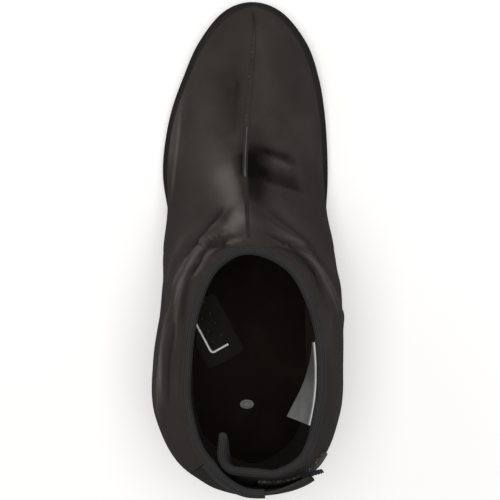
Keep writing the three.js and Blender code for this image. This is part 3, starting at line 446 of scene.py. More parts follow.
    def flap_grid(self, station: np.ndarray, row: np.ndarray) -> tuple[np.ndarray, np.ndarray]:
        """The skin under the flap at stations and rows of one shape: its rows close in at the rounded end."""
        station, row = np.asarray(station, float), np.asarray(row, float)
        low = self.row_level(station, self.slit_row) + self.flap_low
        past = np.maximum(0, self.past_seam(station) - self.flap_span + self.flap_rounding)
        kept = 1 - self.flap_close * (past / self.flap_rounding) ** self.flap_curve
        middle = (low + 1) / 2
        share = (row - self.slit_row) / (CREST - self.slit_row)
        level = middle + (low + (1 - low) * share - middle) * kept
        return self.points(station, level), self.normals(station, level)

    def past_seam(self, station: np.ndarray) -> np.ndarray:
        """How far round the heel a station lies from the flap's sewn edge."""
        s = np.asarray(station, float)
        return np.where(s < 0, self.flap_start - s, self.turn + self.flap_start - s)

    def seam_station(self, past: np.ndarray) -> np.ndarray:
        """The stations at distances round the heel from the flap's sewn edge."""
        s = self.flap_start - past
        return np.where(s < -self.heel_station, s + self.turn, s)

    def flap_offset(self, station: np.ndarray, row: np.ndarray | float) -> np.ndarray:
        """How far the flap's inner face stands out of the skin: more at its top than at its foot."""
        past = self.past_seam(station)
        share = (np.asarray(row, float) - self.slit_row) / (CREST - self.slit_row)
        sewn = self.wall * (1 - smoothstep(0, self.flap_leave, past))
        stand = self.flap_foot_stand + (self.flap_stand - self.flap_foot_stand) * share
        stand = stand * smoothstep(0, 0.2, share) - self.flap_sink * smoothstep(0.12, 0, share)
        lift = self.flap_lift * share * smoothstep(0.9, self.flap_span, past)
        return stand * smoothstep(0, self.flap_rise, past) + lift - sewn

    @property
    def slit_row(self) -> int:
        """The row at which the heel slit ends."""
        rows = np.arange(CREST + 1)
        heights = self.points(self.heel_station, self.row_level(self.heel_station, rows))[:, 2]
        return int(np.argmax(heights > self.sole_level + self.collar_height - self.collar_drop - self.slit_depth))


LAST = Last()


def frame_shift() -> np.ndarray:
    """Where the skin's own origin lies in the frame, in millimetres, read from the heel plug's box."""
    low, high = (np.array(corner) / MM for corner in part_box("heel_plug"))
    own = np.array([LAST.ball_width * LAST.plug_side, LAST.length * (LAST.plug_along - 0.5)])
    return np.array([*((low + high)[:2] / 2 - own), 0.0])


SHIFT = frame_shift()


class Signal:
    """One shader socket, with arithmetic that adds Math nodes."""

    def __init__(self, shader: "Shader", socket: bpy.types.NodeSocket) -> None:
        """Keeps the socket and the shader that it is in."""
        self.shader, self.socket = shader, socket

    def _math(self, operation: str, *values: "Signal | float") -> "Signal":
        """A Math node on values, in their order."""
        return self.shader.node("ShaderNodeMath", {"operation": operation}, dict(enumerate(values)))

    def __add__(self, other: "Signal | float") -> "Signal":
        """self + other."""
        return self._math("ADD", self, other)

    def __sub__(self, other: "Signal | float") -> "Signal":
        """self - other."""
        return self._math("SUBTRACT", self, other)

    def __rsub__(self, other: float) -> "Signal":
        """other - self."""
        return self._math("SUBTRACT", other, self)

    def __mul__(self, other: "Signal | float") -> "Signal":
        """self * other."""
        return self._math("MULTIPLY", self, other)

    def sine(self) -> "Signal":
        """The sine of the value."""
        return self._math("SINE", self)

    def largest(self, other: "Signal | float") -> "Signal":
        """The larger of two values."""
        return self._math("MAXIMUM", self, other)

    def size(self) -> "Signal":
        """The value without its sign."""
        return self._math("ABSOLUTE", self)

    def step(self, low: float, high: float) -> "Signal":
        """A smooth step from 0 at low to 1 at high."""
        settings = {"interpolation_type": "SMOOTHSTEP"}
        return self.shader.node("ShaderNodeMapRange", settings, {"Value": self, "From Min": low, "From Max": high})


Colour = tuple[float, float, float]


class Shader:
    """A material under construction, with one Principled shader."""

    def __init__(self, name: str) -> None:
        """Starts an empty material with its output.

        Args:
            name: The material's name.
        """
        self.material = bpy.data.materials.new(name)
        self.material.use_nodes = True
        self.tree = self.material.node_tree
        self.tree.nodes.clear()
        self.surface = self.tree.nodes.new("ShaderNodeBsdfPrincipled")
        output = self.tree.nodes.new("ShaderNodeOutputMaterial")
        self.tree.links.new(self.surface.outputs["BSDF"], output.inputs["Surface"])

    def _feed(self, socket: bpy.types.NodeSocket, value: object) -> None:
        """Links a signal to a socket, or writes a plain value into it."""
        if isinstance(value, Signal):
            self.tree.links.new(value.socket, socket)
        elif isinstance(value, tuple) and len(value) == 3 and socket.type == "RGBA":
            socket.default_value = (*value, 1.0)
        else:
            socket.default_value = value

    def node(self, kind: str, settings: dict[str, object] | None = None,
             inputs: dict[str | int, object] | None = None, output: str | int = 0) -> Signal:
        """Adds a node.

        Args:
            kind: The node's type.
            settings: Its own settings, such as a Math node's operation.
            inputs: A value or a signal for each named or numbered socket.
            output: The output to return.

        Returns:
            That output as a signal.
        """
        made = self.tree.nodes.new(kind)
        for name, value in (settings or {}).items():
            setattr(made, name, value)
        for name, value in (inputs or {}).items():
            self._feed(made.inputs[name], value)
        return Signal(self, made.outputs[output])

    def place(self, uv: bool = False) -> Signal:
        """The place on the object: Object coordinates in metres, or the piece's own UV map in millimetres."""
        return self.node("ShaderNodeTexCoord", output="UV" if uv else "Object")

    def parts(self, vector: Signal) -> tuple[Signal, Signal, Signal]:
        """A vector's three numbers."""
        split = self.node("ShaderNodeSeparateXYZ", inputs={0: vector})
        outputs = split.socket.node.outputs
        return tuple(Signal(self, outputs[index]) for index in range(3))

    def noise(self, vector: Signal, scale: float, detail: float = 3.0, rough: float = 0.55) -> Signal:
        """Soft noise from 0 to 1."""
        return self.node("ShaderNodeTexNoise", inputs={"Vector": vector, "Scale": scale, "Detail": detail,
                                                       "Roughness": rough})

    def mix(self, low: "Colour | Signal", high: "Colour | Signal", share: "Signal | float") -> Signal:
        """A colour between two colours."""
        inputs = {0: share, 6: low, 7: high}
        return self.node("ShaderNodeMix", {"data_type": "RGBA"}, inputs, output=2)

    def bump(self, height: Signal, distance: float, strength: float = 1.0) -> None:
        """Raises the surface by a height from 0 to 1, over a distance in metres."""
        inputs = {"Strength": strength, "Distance": distance, "Height": height}
        if self.surface.inputs["Normal"].is_linked:
            inputs["Normal"] = Signal(self, self.surface.inputs["Normal"].links[0].from_socket)
        self.set(Normal=self.node("ShaderNodeBump", inputs=inputs))

    def set(self, **values: object) -> None:
        """Feeds the Principled shader: underscores in a name stand for spaces."""
        for name, value in values.items():
            self._feed(self.surface.inputs[name.replace("_", " ")], value)


@dataclass(frozen=True)
class CoatedWeave:
    """The outer fabric: a fine woven face with a soft waterproof film.

    Attributes:
        name: The material's name.
        colour: The face's colour.
        pale: Its colour where it is rubbed or catches dust.
        thread: The weave's pitch in millimetres.
        rough: The film's roughness.
        sheen: The strength of the soft sheen at grazing angles.
        painted_shade: The colour of painted shade where the tone is -1, deep in folds and hollows.
        painted_highlight: The colour of painted highlights where the tone is 1, on fold crests and lit cloth.
    """

    name: str = "coated_weave"
    colour: Colour = (0.0375, 0.0322, 0.0297)
    pale: Colour = (0.071, 0.0625, 0.058)
    thread: float = 0.55
    rough: float = 0.5
    sheen: float = 0.015
    painted_shade: Colour = (0.0035, 0.003, 0.0028)
    painted_highlight: Colour = (0.17, 0.16, 0.153)

    def build(self) -> bpy.types.Material:
        """Makes the material. The attribute tone paints light into it: -1 is painted shade, 1 a painted highlight."""
        shader = Shader(self.name)
        across, along, _ = shader.parts(shader.place(uv=True))
        tone = shader.node("ShaderNodeAttribute", {"attribute_name": "tone"}, output="Fac")
        place = shader.place()
        turn = 2 * math.pi / self.thread
        weave = ((across + along * 0.5) * turn).sine() * ((along - across * 0.5) * turn).sine() * 0.5 + 0.5
        cloud = shader.noise(place, 22, 4)
        grain = shader.noise(place, 900, 2)
        wear = (cloud * 0.75 + grain * 0.25).step(0.42, 0.72)
        cloth = shader.mix(self.colour, self.pale, wear * 0.5 + weave * 0.1)
        # the tone attribute paints shade and highlights into the cloth's colour
        cloth = shader.mix(cloth, self.painted_shade, (tone * -1.0).largest(0.0))
        shader.set(Base_Color=shader.mix(cloth, self.painted_highlight, tone.largest(0.0)),
                   Roughness=cloud * 0.14 + grain * 0.08 + (self.rough - 0.1),
                   Sheen_Weight=self.sheen, Sheen_Roughness=0.45, Specular_IOR_Level=0.08)
        shader.bump(weave, 0.00006, 0.55)
        shader.bump(shader.noise(place, 260, 3), 0.00022, 0.35)
        shader.bump(cloud, 0.0012, 0.3)
        return shader.material


@dataclass(frozen=True)
class Lining:
    """The inner face: a matt knitted backing with a faint mesh of dots.

    Attributes:
        name: The material's name.
        colour: The backing's colour.
        pale: The colour of its mesh.
        pitch: The mesh's pitch in millimetres.
    """

    name: str = "knitted_lining"
    colour: Colour = (0.0105, 0.0076, 0.0056)
    pale: Colour = (0.028, 0.0235, 0.0205)
    pitch: float = 1.6

    def build(self) -> bpy.types.Material:
        """Makes the material."""
        shader = Shader(self.name)
        across, along, _ = shader.parts(shader.place(uv=True))
        turn = math.pi / self.pitch
        dots = ((across + along) * turn).sine() * ((across - along) * turn).sine()
        mesh = dots.size().step(0.35, 0.85)
        cloud = shader.noise(shader.place(), 40, 4)
        shader.set(Base_Color=shader.mix(self.colour, self.pale, mesh * 0.35 + cloud.step(0.5, 0.8) * 0.4),
                   Roughness=cloud * 0.15 + 0.72, Sheen_Weight=0.01, Sheen_Roughness=0.5,
                   Specular_IOR_Level=0.05)
        shader.bump(mesh, 0.00025, 0.5)
        shader.bump(cloud, 0.0008, 0.35)
        return shader.material


@dataclass(frozen=True)
class MouldedRubber:
    """Moulded or smooth rubber.

    Attributes:
        name: The material's name.
        colour: The rubber's colour.
        dust: The colour of the dust on it.
        dusty: How much of it is dusty.
        rough: Its roughness.
        grain: The size of its moulded grain, as noise scale.
        gloss: The level of its highlights.
    """

    name: str
    colour: Colour = (0.016, 0.0155, 0.0155)
    dust: Colour = (0.05, 0.046, 0.042)
    dusty: float = 0.35
    rough: float = 0.55
    grain: float = 1400
    gloss: float = 0.2

    def build(self) -> bpy.types.Material:
        """Makes the material."""
        shader = Shader(self.name)
        place = shader.place()
        cloud = shader.noise(place, 30, 5, 0.6)
        grain = shader.noise(place, self.grain, 2)
        shader.set(Base_Color=shader.mix(self.colour, self.dust, cloud.step(0.45, 0.75) * self.dusty),
                   Roughness=cloud * 0.2 + grain * 0.1 + (self.rough - 0.15), Specular_IOR_Level=self.gloss)
        shader.bump(grain, 0.0001, 0.5)
        return shader.material


@dataclass(frozen=True)
class RibbedKnit:
    """The elastic band: fine ribs along it, crossed by knitted loops.

    Attributes:
        name: The material's name.
        colour: The yarn's colour.
        pale: The colour of the ribs' crowns.
        rib: The ribs' pitch across the band, in millimetres.
        loop: The loops' pitch along the band, in millimetres.
    """

    name: str = "ribbed_knit"
    colour: Colour = (0.0115, 0.011, 0.0112)
    pale: Colour = (0.056, 0.055, 0.058)
    rib: float = 1.35
    loop: float = 0.9

    def build(self) -> bpy.types.Material:
        """Makes the material."""
        shader = Shader(self.name)
        along, across, _ = shader.parts(shader.place(uv=True))
        rib = (across * (2 * math.pi / self.rib)).sine() * 0.5 + 0.5
        loop = (along * (2 * math.pi / self.loop) + rib * 1.5).sine() * 0.5 + 0.5
        knit = rib * 0.65 + loop * 0.35
        cloud = shader.noise(shader.place(), 60, 3)
        shader.set(Base_Color=shader.mix(self.colour, self.pale, knit * 0.55 + cloud * 0.3),
                   Roughness=cloud * 0.1 + 0.72, Sheen_Weight=0.04, Sheen_Roughness=0.4,
                   Specular_IOR_Level=0.08)
        shader.bump(knit, 0.00035, 0.8)
        shader.bump(shader.noise(shader.place(), 500, 2), 0.0002, 0.4)
        return shader.material


@dataclass(frozen=True)
class Nap:
    """A fastening tape's rough face: napped loops, or moulded hooks in rows.

    Attributes:
        name: The material's name.
        colour: The tape's ground.
        pale: The colour of what stands on it.
        scale: The size of the nap or the hooks, as noise scale.
        rough: Its roughness.
    """

    name: str
    colour: Colour = (0.016, 0.015, 0.0135)
    pale: Colour = (0.07, 0.072, 0.065)
    scale: float = 750
    rough: float = 0.85

    def build(self) -> bpy.types.Material:
        """Makes the material."""
        shader = Shader(self.name)
        place = shader.place()
        fibres = shader.noise(place, self.scale, 4, 0.7)
        tufts = shader.node("ShaderNodeTexVoronoi", inputs={"Vector": place, "Scale": self.scale * 0.9})
        nap = fibres * 0.6 + (1 - tufts).step(0.35, 0.95) * 0.4
        shader.set(Base_Color=shader.mix(self.colour, self.pale, nap.step(0.35, 0.8)), Roughness=self.rough,
                   Sheen_Weight=0.05, Sheen_Roughness=0.5, Specular_IOR_Level=0.1)
        shader.bump(nap, 0.0006, 0.9)
        return shader.material


@dataclass(frozen=True)
class PlainFinish:
    """A pale or small plain finish with a soft uneven tone.

    Attributes:
        name: The material's name.
        colour: Its colour.
        pale: Its second colour, in soft clouds.
        rough: Its roughness.
        grain: The depth of its fine grain, in millimetres.
        weave: The pitch of a fine weave in millimetres, or 0 for none.
    """

    name: str
    colour: Colour
    pale: Colour
    rough: float = 0.6
    grain: float = 0.05
    weave: float = 0.0

    def build(self) -> bpy.types.Material:
        """Makes the material."""
        shader = Shader(self.name)
        place = shader.place()
        cloud = shader.noise(place, 90, 3)
        share = cloud.step(0.35, 0.7)
        if self.weave:
            across, along, _ = shader.parts(shader.place(uv=True))
            turn = 2 * math.pi / self.weave
            weave = (across * turn).sine() * (along * turn).sine() * 0.5 + 0.5
            share = share * 0.5 + weave * 0.5
            shader.bump(weave, 0.0002, 0.6)
        shader.set(Base_Color=shader.mix(self.colour, self.pale, share), Roughness=cloud * 0.12 + self.rough - 0.06)
        shader.bump(shader.noise(place, 1200, 2), self.grain * MM, 0.6)
        return shader.material


class Finish(Enum):
    """The overshoe's finishes."""

    WEAVE = CoatedWeave()
    LINING = Lining()
    SOLE = MouldedRubber("sole_rubber", (0.024, 0.0212, 0.0198), (0.052, 0.047, 0.043), 0.3, 0.55, 1400, 0.1)
    # the sole's inner face: a darker copy of the sole rubber, painted shade for the inside of the shoe
    INSOLE = MouldedRubber("sole_inside_painted_shade", (0.0078, 0.0056, 0.0041), (0.018, 0.0138, 0.011), 0.5, 0.7, 700, 0.05)
    PATCH = MouldedRubber("patch_rubber", (0.0078, 0.006, 0.0048), (0.0165, 0.013, 0.011), 0.4, 0.62, 900, 0.1)
    TAB = MouldedRubber("tab_rubber", (0.024, 0.027, 0.034), (0.055, 0.06, 0.07), 0.3, 0.4, 1600)
    KNIT = RibbedKnit()
    SEAM = CoatedWeave("seam_tape", (0.030, 0.0268, 0.025), (0.056, 0.050, 0.047))
    FLAP = CoatedWeave("flap_cloth", (0.022, 0.0208, 0.018), (0.050, 0.048, 0.043))
    HOOKS = Nap("hook_tape_face", scale=1100, rough=0.6)
    LOOPS = Nap("loop_tape_face", (0.03, 0.029, 0.026), (0.2, 0.205, 0.185))
    THREAD = PlainFinish("thread", (0.012, 0.0115, 0.011), (0.07, 0.066, 0.063), 0.55, 0.1)
    LABEL = PlainFinish("label_satin", (0.60, 0.605, 0.61), (0.80, 0.81, 0.815), 0.5, 0.04, 0.5)
    # the same satin made grey: painted shade on the label's inner leaf
    LABEL_GREY = PlainFinish("label_satin_painted_shade", (0.16, 0.162, 0.165), (0.27, 0.275, 0.28), 0.55, 0.04, 0.5)
    PINHOLE = PlainFinish("pinhole", (0.03, 0.022, 0.018), (0.05, 0.04, 0.033), 0.8, 0.02)
    # a pale tube of painted highlight along the instep seam's edge
    LIGHT_THREAD = PlainFinish("seam_painted_highlight", (0.09, 0.088, 0.086), (0.17, 0.165, 0.16), 0.5, 0.05)
    PALE_LINE = PlainFinish("reflective_line", (0.66, 0.66, 0.65), (0.86, 0.86, 0.85), 0.35, 0.03)
    PLUG = PlainFinish("plug_plastic", (0.19, 0.195, 0.19), (0.30, 0.305, 0.295), 0.5, 0.05)

    def material(self) -> bpy.types.Material:
        """The finish's material, made the first time that it is asked for."""
        found = bpy.data.materials.get(self.value.name)
        return found or self.value.build()


def clear_selection() -> None:
    """Deselects every object, so that the next operator acts on its own piece alone."""
    if bpy.context.mode != "OBJECT":
        bpy.ops.object.mode_set(mode="OBJECT")
    bpy.ops.object.select_all(action="DESELECT")


def activate(piece: bpy.types.Object) -> None:
    """Makes a piece the only selected and active one."""
    clear_selection()
    piece.select_set(True)
    bpy.context.view_layer.objects.active = piece


def apply_modifier(piece: bpy.types.Object, kind: str, **settings: object) -> None:
    """Adds a modifier to a piece and applies it.

    Args:
        piece: The piece.
        kind: The modifier's type.
        settings: Its settings.
    """
    modifier = piece.modifiers.new(kind.lower(), kind)
    for name, value in settings.items():
        setattr(modifier, name, value)
    activate(piece)
    bpy.ops.object.modifier_apply(modifier=modifier.name)


def dress(piece: bpy.types.Object, *finishes: Finish, degrees: float = 50) -> None:
    """Gives a piece its finishes and its smooth shading.

    Args:
        piece: The piece.
        finishes: One finish for each material slot.
        degrees: Edges sharper than this stay sharp. At 0 the whole piece keeps flat faces.
    """
    piece.data.materials.clear()
    for finish in finishes:
        piece.data.materials.append(finish.material())
    if degrees:
        activate(piece)
        bpy.ops.object.shade_smooth_by_angle(angle=math.radians(degrees))


def place_piece(piece: bpy.types.Object, slot: str, *nodes: str) -> bpy.types.Object:
    """Lets a piece ride on the body and hides the solids that it stands for.

    Args:
        piece: The finished piece.
        slot: The record's material slot that it is painted from. Not used.
        nodes: The solids that it replaces.

    Returns:
        The piece.
    """
    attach(piece, "root")
    if nodes:
        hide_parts(*nodes)
    LOG.info("%s: %d faces", piece.name, len(piece.data.polygons))
    return piece


def grid_piece(name: str, grid: np.ndarray, closed_rows: bool = False, closed_columns: bool = False,
               weld: float = WELD) -> bpy.types.Object:
    """Shapes a primitive grid over a lattice of points.

    Args:
        name: The piece's name.
        grid: The points in millimetres, columns by rows by three, in the skin's own place.
        closed_rows: Joins each column's last row to its first.
        closed_columns: Joins the last column to the first.
        weld: Points closer than this, in millimetres, are merged.

    Returns:
        The piece, with a UV map in millimetres: u along the columns, v along the rows.
    """
    if closed_rows:
        grid = np.concatenate([grid, grid[:, :1]], 1)
    if closed_columns:
        grid = np.concatenate([grid, grid[:1]], 0)
    columns, rows = grid.shape[:2]
    clear_selection()
    bpy.ops.mesh.primitive_grid_add(x_subdivisions=columns - 1, y_subdivisions=rows - 1, size=1, calc_uvs=True)
    piece = bpy.context.object
    piece.name = piece.data.name = name
    mesh = piece.data
    across = np.linalg.norm(np.diff(grid, axis=0), axis=-1).mean(1)
    along = np.linalg.norm(np.diff(grid, axis=1), axis=-1).mean(0)
    u, v = (np.concatenate([[0.0], np.cumsum(steps)]) for steps in (across, along))
    flat = ((grid + SHIFT) * MM).transpose(1, 0, 2).reshape(-1, 3)
    mesh.vertices.foreach_set("co", flat.ravel())
    vertex = np.empty(len(mesh.loops), int)
    mesh.loops.foreach_get("vertex_index", vertex)
    uv = np.stack([u[vertex % columns], v[vertex // columns]], -1)
    mesh.uv_layers[0].data.foreach_set("uv", uv.ravel())
    mesh.update()
    merge_doubles(piece, weld)
    return piece


def edit_all(piece: bpy.types.Object) -> None:
    """Opens a piece in Edit Mode with the whole of it selected."""
    activate(piece)
    bpy.ops.object.mode_set(mode="EDIT")
    bpy.ops.mesh.select_all(action="SELECT")


def merge_doubles(piece: bpy.types.Object, distance: float) -> None:
    """Merges vertices closer than a distance in millimetres."""
    edit_all(piece)
    bpy.ops.mesh.remove_doubles(threshold=distance * MM)
    bpy.ops.object.mode_set(mode="OBJECT")


def face_outwards(piece: bpy.types.Object) -> None:
    """Turns a closed piece's faces outwards."""
    edit_all(piece)
    bpy.ops.mesh.normals_make_consistent(inside=False)
    bpy.ops.object.mode_set(mode="OBJECT")


def facing(grid: np.ndarray, outward: np.ndarray) -> np.ndarray:
    """The lattice, with its columns turned about if its faces would look inwards.

    Args:
        grid: The points, columns by rows by three.
        outward: A direction for each point, or one for all.

    Returns:
        The lattice in the order whose faces look outwards.
    """
    across, up = np.diff(grid, axis=0)[:, :-1], np.diff(grid, axis=1)[:-1]
    outward = np.broadcast_to(outward, grid.shape)[:-1, :-1]
    return grid if (np.cross(across, up) * outward).sum() > 0 else grid[::-1]


def tube_piece(name: str, sections: np.ndarray, weld: float = WELD) -> bpy.types.Object:
    """A closed piece through sections, each a ring of points, with both ends drawn together.

    Args:
        name: The piece's name.
        sections: The rings in millimetres, sections by points by three.
        weld: Points closer than this, in millimetres, are merged.

    Returns:
        The piece.
    """
    ends = [np.broadcast_to(ring.mean(0), ring.shape)[None] for ring in (sections[0], sections[-1])]
    rounded = [(ring + end[0] * 0.35) / 1.35 for ring, end in zip((sections[0], sections[-1]), ends)]
    grid = np.concatenate([ends[0], rounded[0][None], sections, rounded[1][None], ends[1]])
    piece = grid_piece(name, grid, closed_rows=True, weld=weld)
    face_outwards(piece)
    return piece


def offset_piece(name: str, points: np.ndarray, normals: np.ndarray, outer: np.ndarray | float,
                 inner: np.ndarray | float) -> bpy.types.Object:
    """A closed sheet between two offsets of a surface.

    Args:
        name: The piece's name.
        points: The surface's points, steps along it by steps across it by three.
        normals: Their outward normals.
        outer: How far the outer face lies along the normals.
        inner: How far the inner face lies along them.

    Returns:
        The piece.
    """
    return tube_piece(name, np.concatenate([points + normals * outer, (points + normals * inner)[:, ::-1]], 1))


def joined(name: str, parts: list[bpy.types.Object]) -> bpy.types.Object:
    """Several objects as one.

    Args:
        name: The name of the whole.
        parts: The objects.

    Returns:
        The one object.
    """
    clear_selection()
    for part in parts:
        part.select_set(True)
    bpy.context.view_layer.objects.active = parts[0]
    if len(parts) > 1:
        bpy.ops.object.join()
    whole = bpy.context.object
    whole.name = whole.data.name = name
    return whole


def oval(half_x: float, half_y: float, z: float, count: int) -> np.ndarray:
    """A level ring round the origin.

    Args:
        half_x: Half its size along x.
        half_y: Half its size along y.
        z: Its height.
        count: How many points it has.

    Returns:
        The ring's points.
    """
    angle = np.linspace(0, 2 * math.pi, count + 1)[:-1]
    return np.stack([np.cos(angle) * half_x, np.sin(angle) * half_y, np.full(count, z)], -1)


def polyline_distance(points: np.ndarray, path: np.ndarray) -> tuple[np.ndarray, np.ndarray]:
    """How far points lie from a polyline, and how far along it.

    Args:
        points: The points, of any shape by three.
        path: The polyline's points by three.

    Returns:
        The distance to the nearest place on the polyline, and that place as a share of its length.
    """
    best = np.full(points.shape[:-1], 1e9)
    share = np.zeros(points.shape[:-1])
    steps = np.linalg.norm(np.diff(path, axis=0), axis=1)
    ran = np.concatenate([[0], np.cumsum(steps)])
    for start, end, before, length in zip(path[:-1], path[1:], ran, steps):
        t = np.clip(((points - start) @ (end - start)) / max(length**2, 1e-9), 0, 1)
        far = np.linalg.norm(points - start - t[..., None] * (end - start), axis=-1)
        nearer = far < best
        best = np.where(nearer, far, best)
        share = np.where(nearer, (before + t * length) / ran[-1], share)
    return best, share


@dataclass(frozen=True)
class SkinLine:
    """A line drawn on the skin.

    Attributes:
        path: Its stations and rows, from one end to the other.
        width: How far it reaches to each side, in millimetres.
    """

    path: tuple[tuple[float, float], ...]
    width: float

    def line(self) -> np.ndarray:
        """The line's points on the skin, as a smooth curve."""
        last = len(self.path) - 1
        place = np.minimum(np.linspace(0, last, 6 * len(self.path)), last - 1e-9)
        station, row = (LAST.cubic(np.array([2 * v[0] - v[1], *v, 2 * v[-1] - v[-2]]), -1, place)
                        for v in np.array(self.path).T)
        return LAST.points(station, LAST.row_level(station, row))


@dataclass(frozen=True)
class Fold(SkinLine):
    """One crease of the cloth.

    Attributes:
        height: How far it stands out of the skin, or sinks into it when negative, in millimetres.
        crisp: How sharp its line is: 2 is soft, 1 is a pinched edge.
    """

    height: float
    crisp: float = 2.0

    def rise(self, points: np.ndarray) -> np.ndarray:
        """How far the fold lifts each point."""
        far, share = polyline_distance(points, self.line())
        ends = smoothstep(0, 0.18, share) * smoothstep(1, 0.82, share)
        reach = self.width * (0.45 + 0.55 * ends)
        return self.height * ends * np.exp(-((far / reach) ** self.crisp))


# the small gathers in the hollow beside the band
GATHERS: tuple[tuple[tuple[float, float], ...], ...] = (
    ((7.64, 10.43), (7.78, 10.07), (7.9, 9.81)), ((7.76, 9.81), (7.92, 9.51), (8.14, 9.48)),
    ((7.86, 9.45), (8.14, 9.42), (8.53, 9.94)), ((7.98, 9.09), (8.57, 9.97), (8.79, 10.23)),
    ((8.45, 9.68), (8.91, 10.36), (9.08, 10.49)), ((8.87, 10.2), (9.2, 10.56), (9.36, 10.59)),
)
FOLDS: tuple[Fold, ...] = (
    # the fan of folds left of the collar's front, from its outer edge to the band
    Fold(((-7.21, 9.94), (-7.48, 9.42), (-7.82, 8.8), (-8.47, 8.86), (-9.01, 9.16), (-9.4, 9.12), (-9.74, 9.16)),
         4.2, 1.5),
    Fold(((-6.93, 10.3), (-7.13, 9.81), (-7.35, 9.45), (-7.64, 8.93), (-7.96, 8.44), (-8.75, 9.03)), 3.2, -1.6),
    Fold(((-7.46, 10.33), (-7.72, 9.38), (-7.88, 8.93), (-8.24, 8.96), (-8.71, 9.35), (-9.07, 9.68),
          (-9.56, 9.74), (-10.09, 9.87)), 1.8, 2.0, 1.2),
    Fold(((-7.6, 10.26), (-7.78, 9.68), (-7.98, 9.16), (-8.59, 9.87), (-8.99, 10.23), (-9.32, 10.43)), 2.6, -2.1),
    Fold(((-7.5, 12.02), (-7.66, 10.49), (-7.8, 9.97), (-7.94, 9.58), (-8.45, 10.07), (-8.83, 10.52),
          (-9.11, 10.72), (-9.36, 10.39)), 1.6, 1.8, 1.2),
    Fold(((-7.82, 10.43), (-7.92, 10.04), (-8.35, 10.3), (-8.71, 10.62)), 2.3, -1.9),
    Fold(((-7.78, 11.24), (-7.82, 10.78), (-7.9, 10.59)), 1.1, 0.8, 1.2),
    # the left side of the shaft
    Fold(((-10.23, 9.74), (-10.59, 9.48), (-10.94, 9.42), (-11.38, 9.38), (-11.75, 9.25), (-12.19, 8.67)), 3.2, 1.4),
    Fold(((-10.23, 10.3), (-10.65, 10.23), (-11.06, 10.17), (-11.52, 10.23), (-11.93, 10.17)), 3, -1.1),
    # the folds that run round the collar's front on the right
    Fold(((7.29, 10.56), (7.5, 10.17), (7.82, 9.03), (7.94, 8.63), (8.39, 9.03), (8.83, 9.55), (9.1, 9.64),
          (9.5, 9.35), (9.78, 8.89), (10.05, 8.44), (10.39, 7.59)), 1.7, 1.9, 1.2),
    Fold(((7.58, 10.75), (7.72, 10.3), (7.84, 9.77), (7.98, 9.25), (8.53, 9.87), (8.89, 10.17), (9.22, 10.33),
          (9.48, 10.33)), 2.8, -1.7),
    Fold(((7.05, 10.39), (7.25, 9.81), (7.46, 9.16), (7.68, 8.54), (7.96, 7.98), (8.65, 8.63), (9.16, 8.89)),
         3.6, -1.0),
    *(Fold(path, 1.0, 0.9, 1.2) for path in GATHERS),
    # the creases across the instep, right of the seam
    Fold(((5.43, 10.69), (5.51, 9.61), (5.66, 8.44), (5.84, 7.23)), 2.4, -1.3),
    Fold(((6.26, 10.62), (6.34, 9.55), (6.45, 8.37), (6.55, 7.14)), 2.4, -1.3),
    Fold(((5.76, 10.0), (5.84, 9.16), (6.0, 8.11)), 2.6, 0.9),
    # the long soft shapes along the seam
    Fold(((-2.9, 10.91), (-3.59, 10.69), (-4.24, 10.82), (-4.89, 11.37)), 9, -2.4),
    Fold(((2.07, 10.46), (3.07, 10.0), (4.04, 9.58), (4.79, 9.58)), 9, 1.0),
    Fold(((5.39, 11.34), (5.96, 11.86), (6.49, 12.22), (6.99, 12.12)), 8, -2.4),
    Fold(((-5.11, 10.39), (-5.88, 10.72), (-6.57, 10.72), (-7.01, 10.62)), 7, 1.2),
)


@dataclass(frozen=True)
class Stroke(SkinLine):
    """A stroke of painted light on the cloth: a painted light band, a painted sheen or painted shade in a hollow.

    Attributes:
        tone: How much painted highlight, or painted shade when negative, the stroke puts on its line.
        crisp: How sharp its sides are: 2 is soft, 4 is a clear edge.
    """

    tone: float
    crisp: float = 2.0

    def shade(self, points: np.ndarray) -> np.ndarray:
        """The painted light or shade added to each point's tone. Heights count less than distances seen from above."""
        flat = np.array([1, 1, 0.4])
        far, share = polyline_distance(points * flat, self.line() * flat)
        ends = 0.25 + 0.75 * smoothstep(0, 0.25, share) * smoothstep(1, 0.75, share)
        return self.tone * ends * np.exp(-((far / self.width) ** self.crisp))
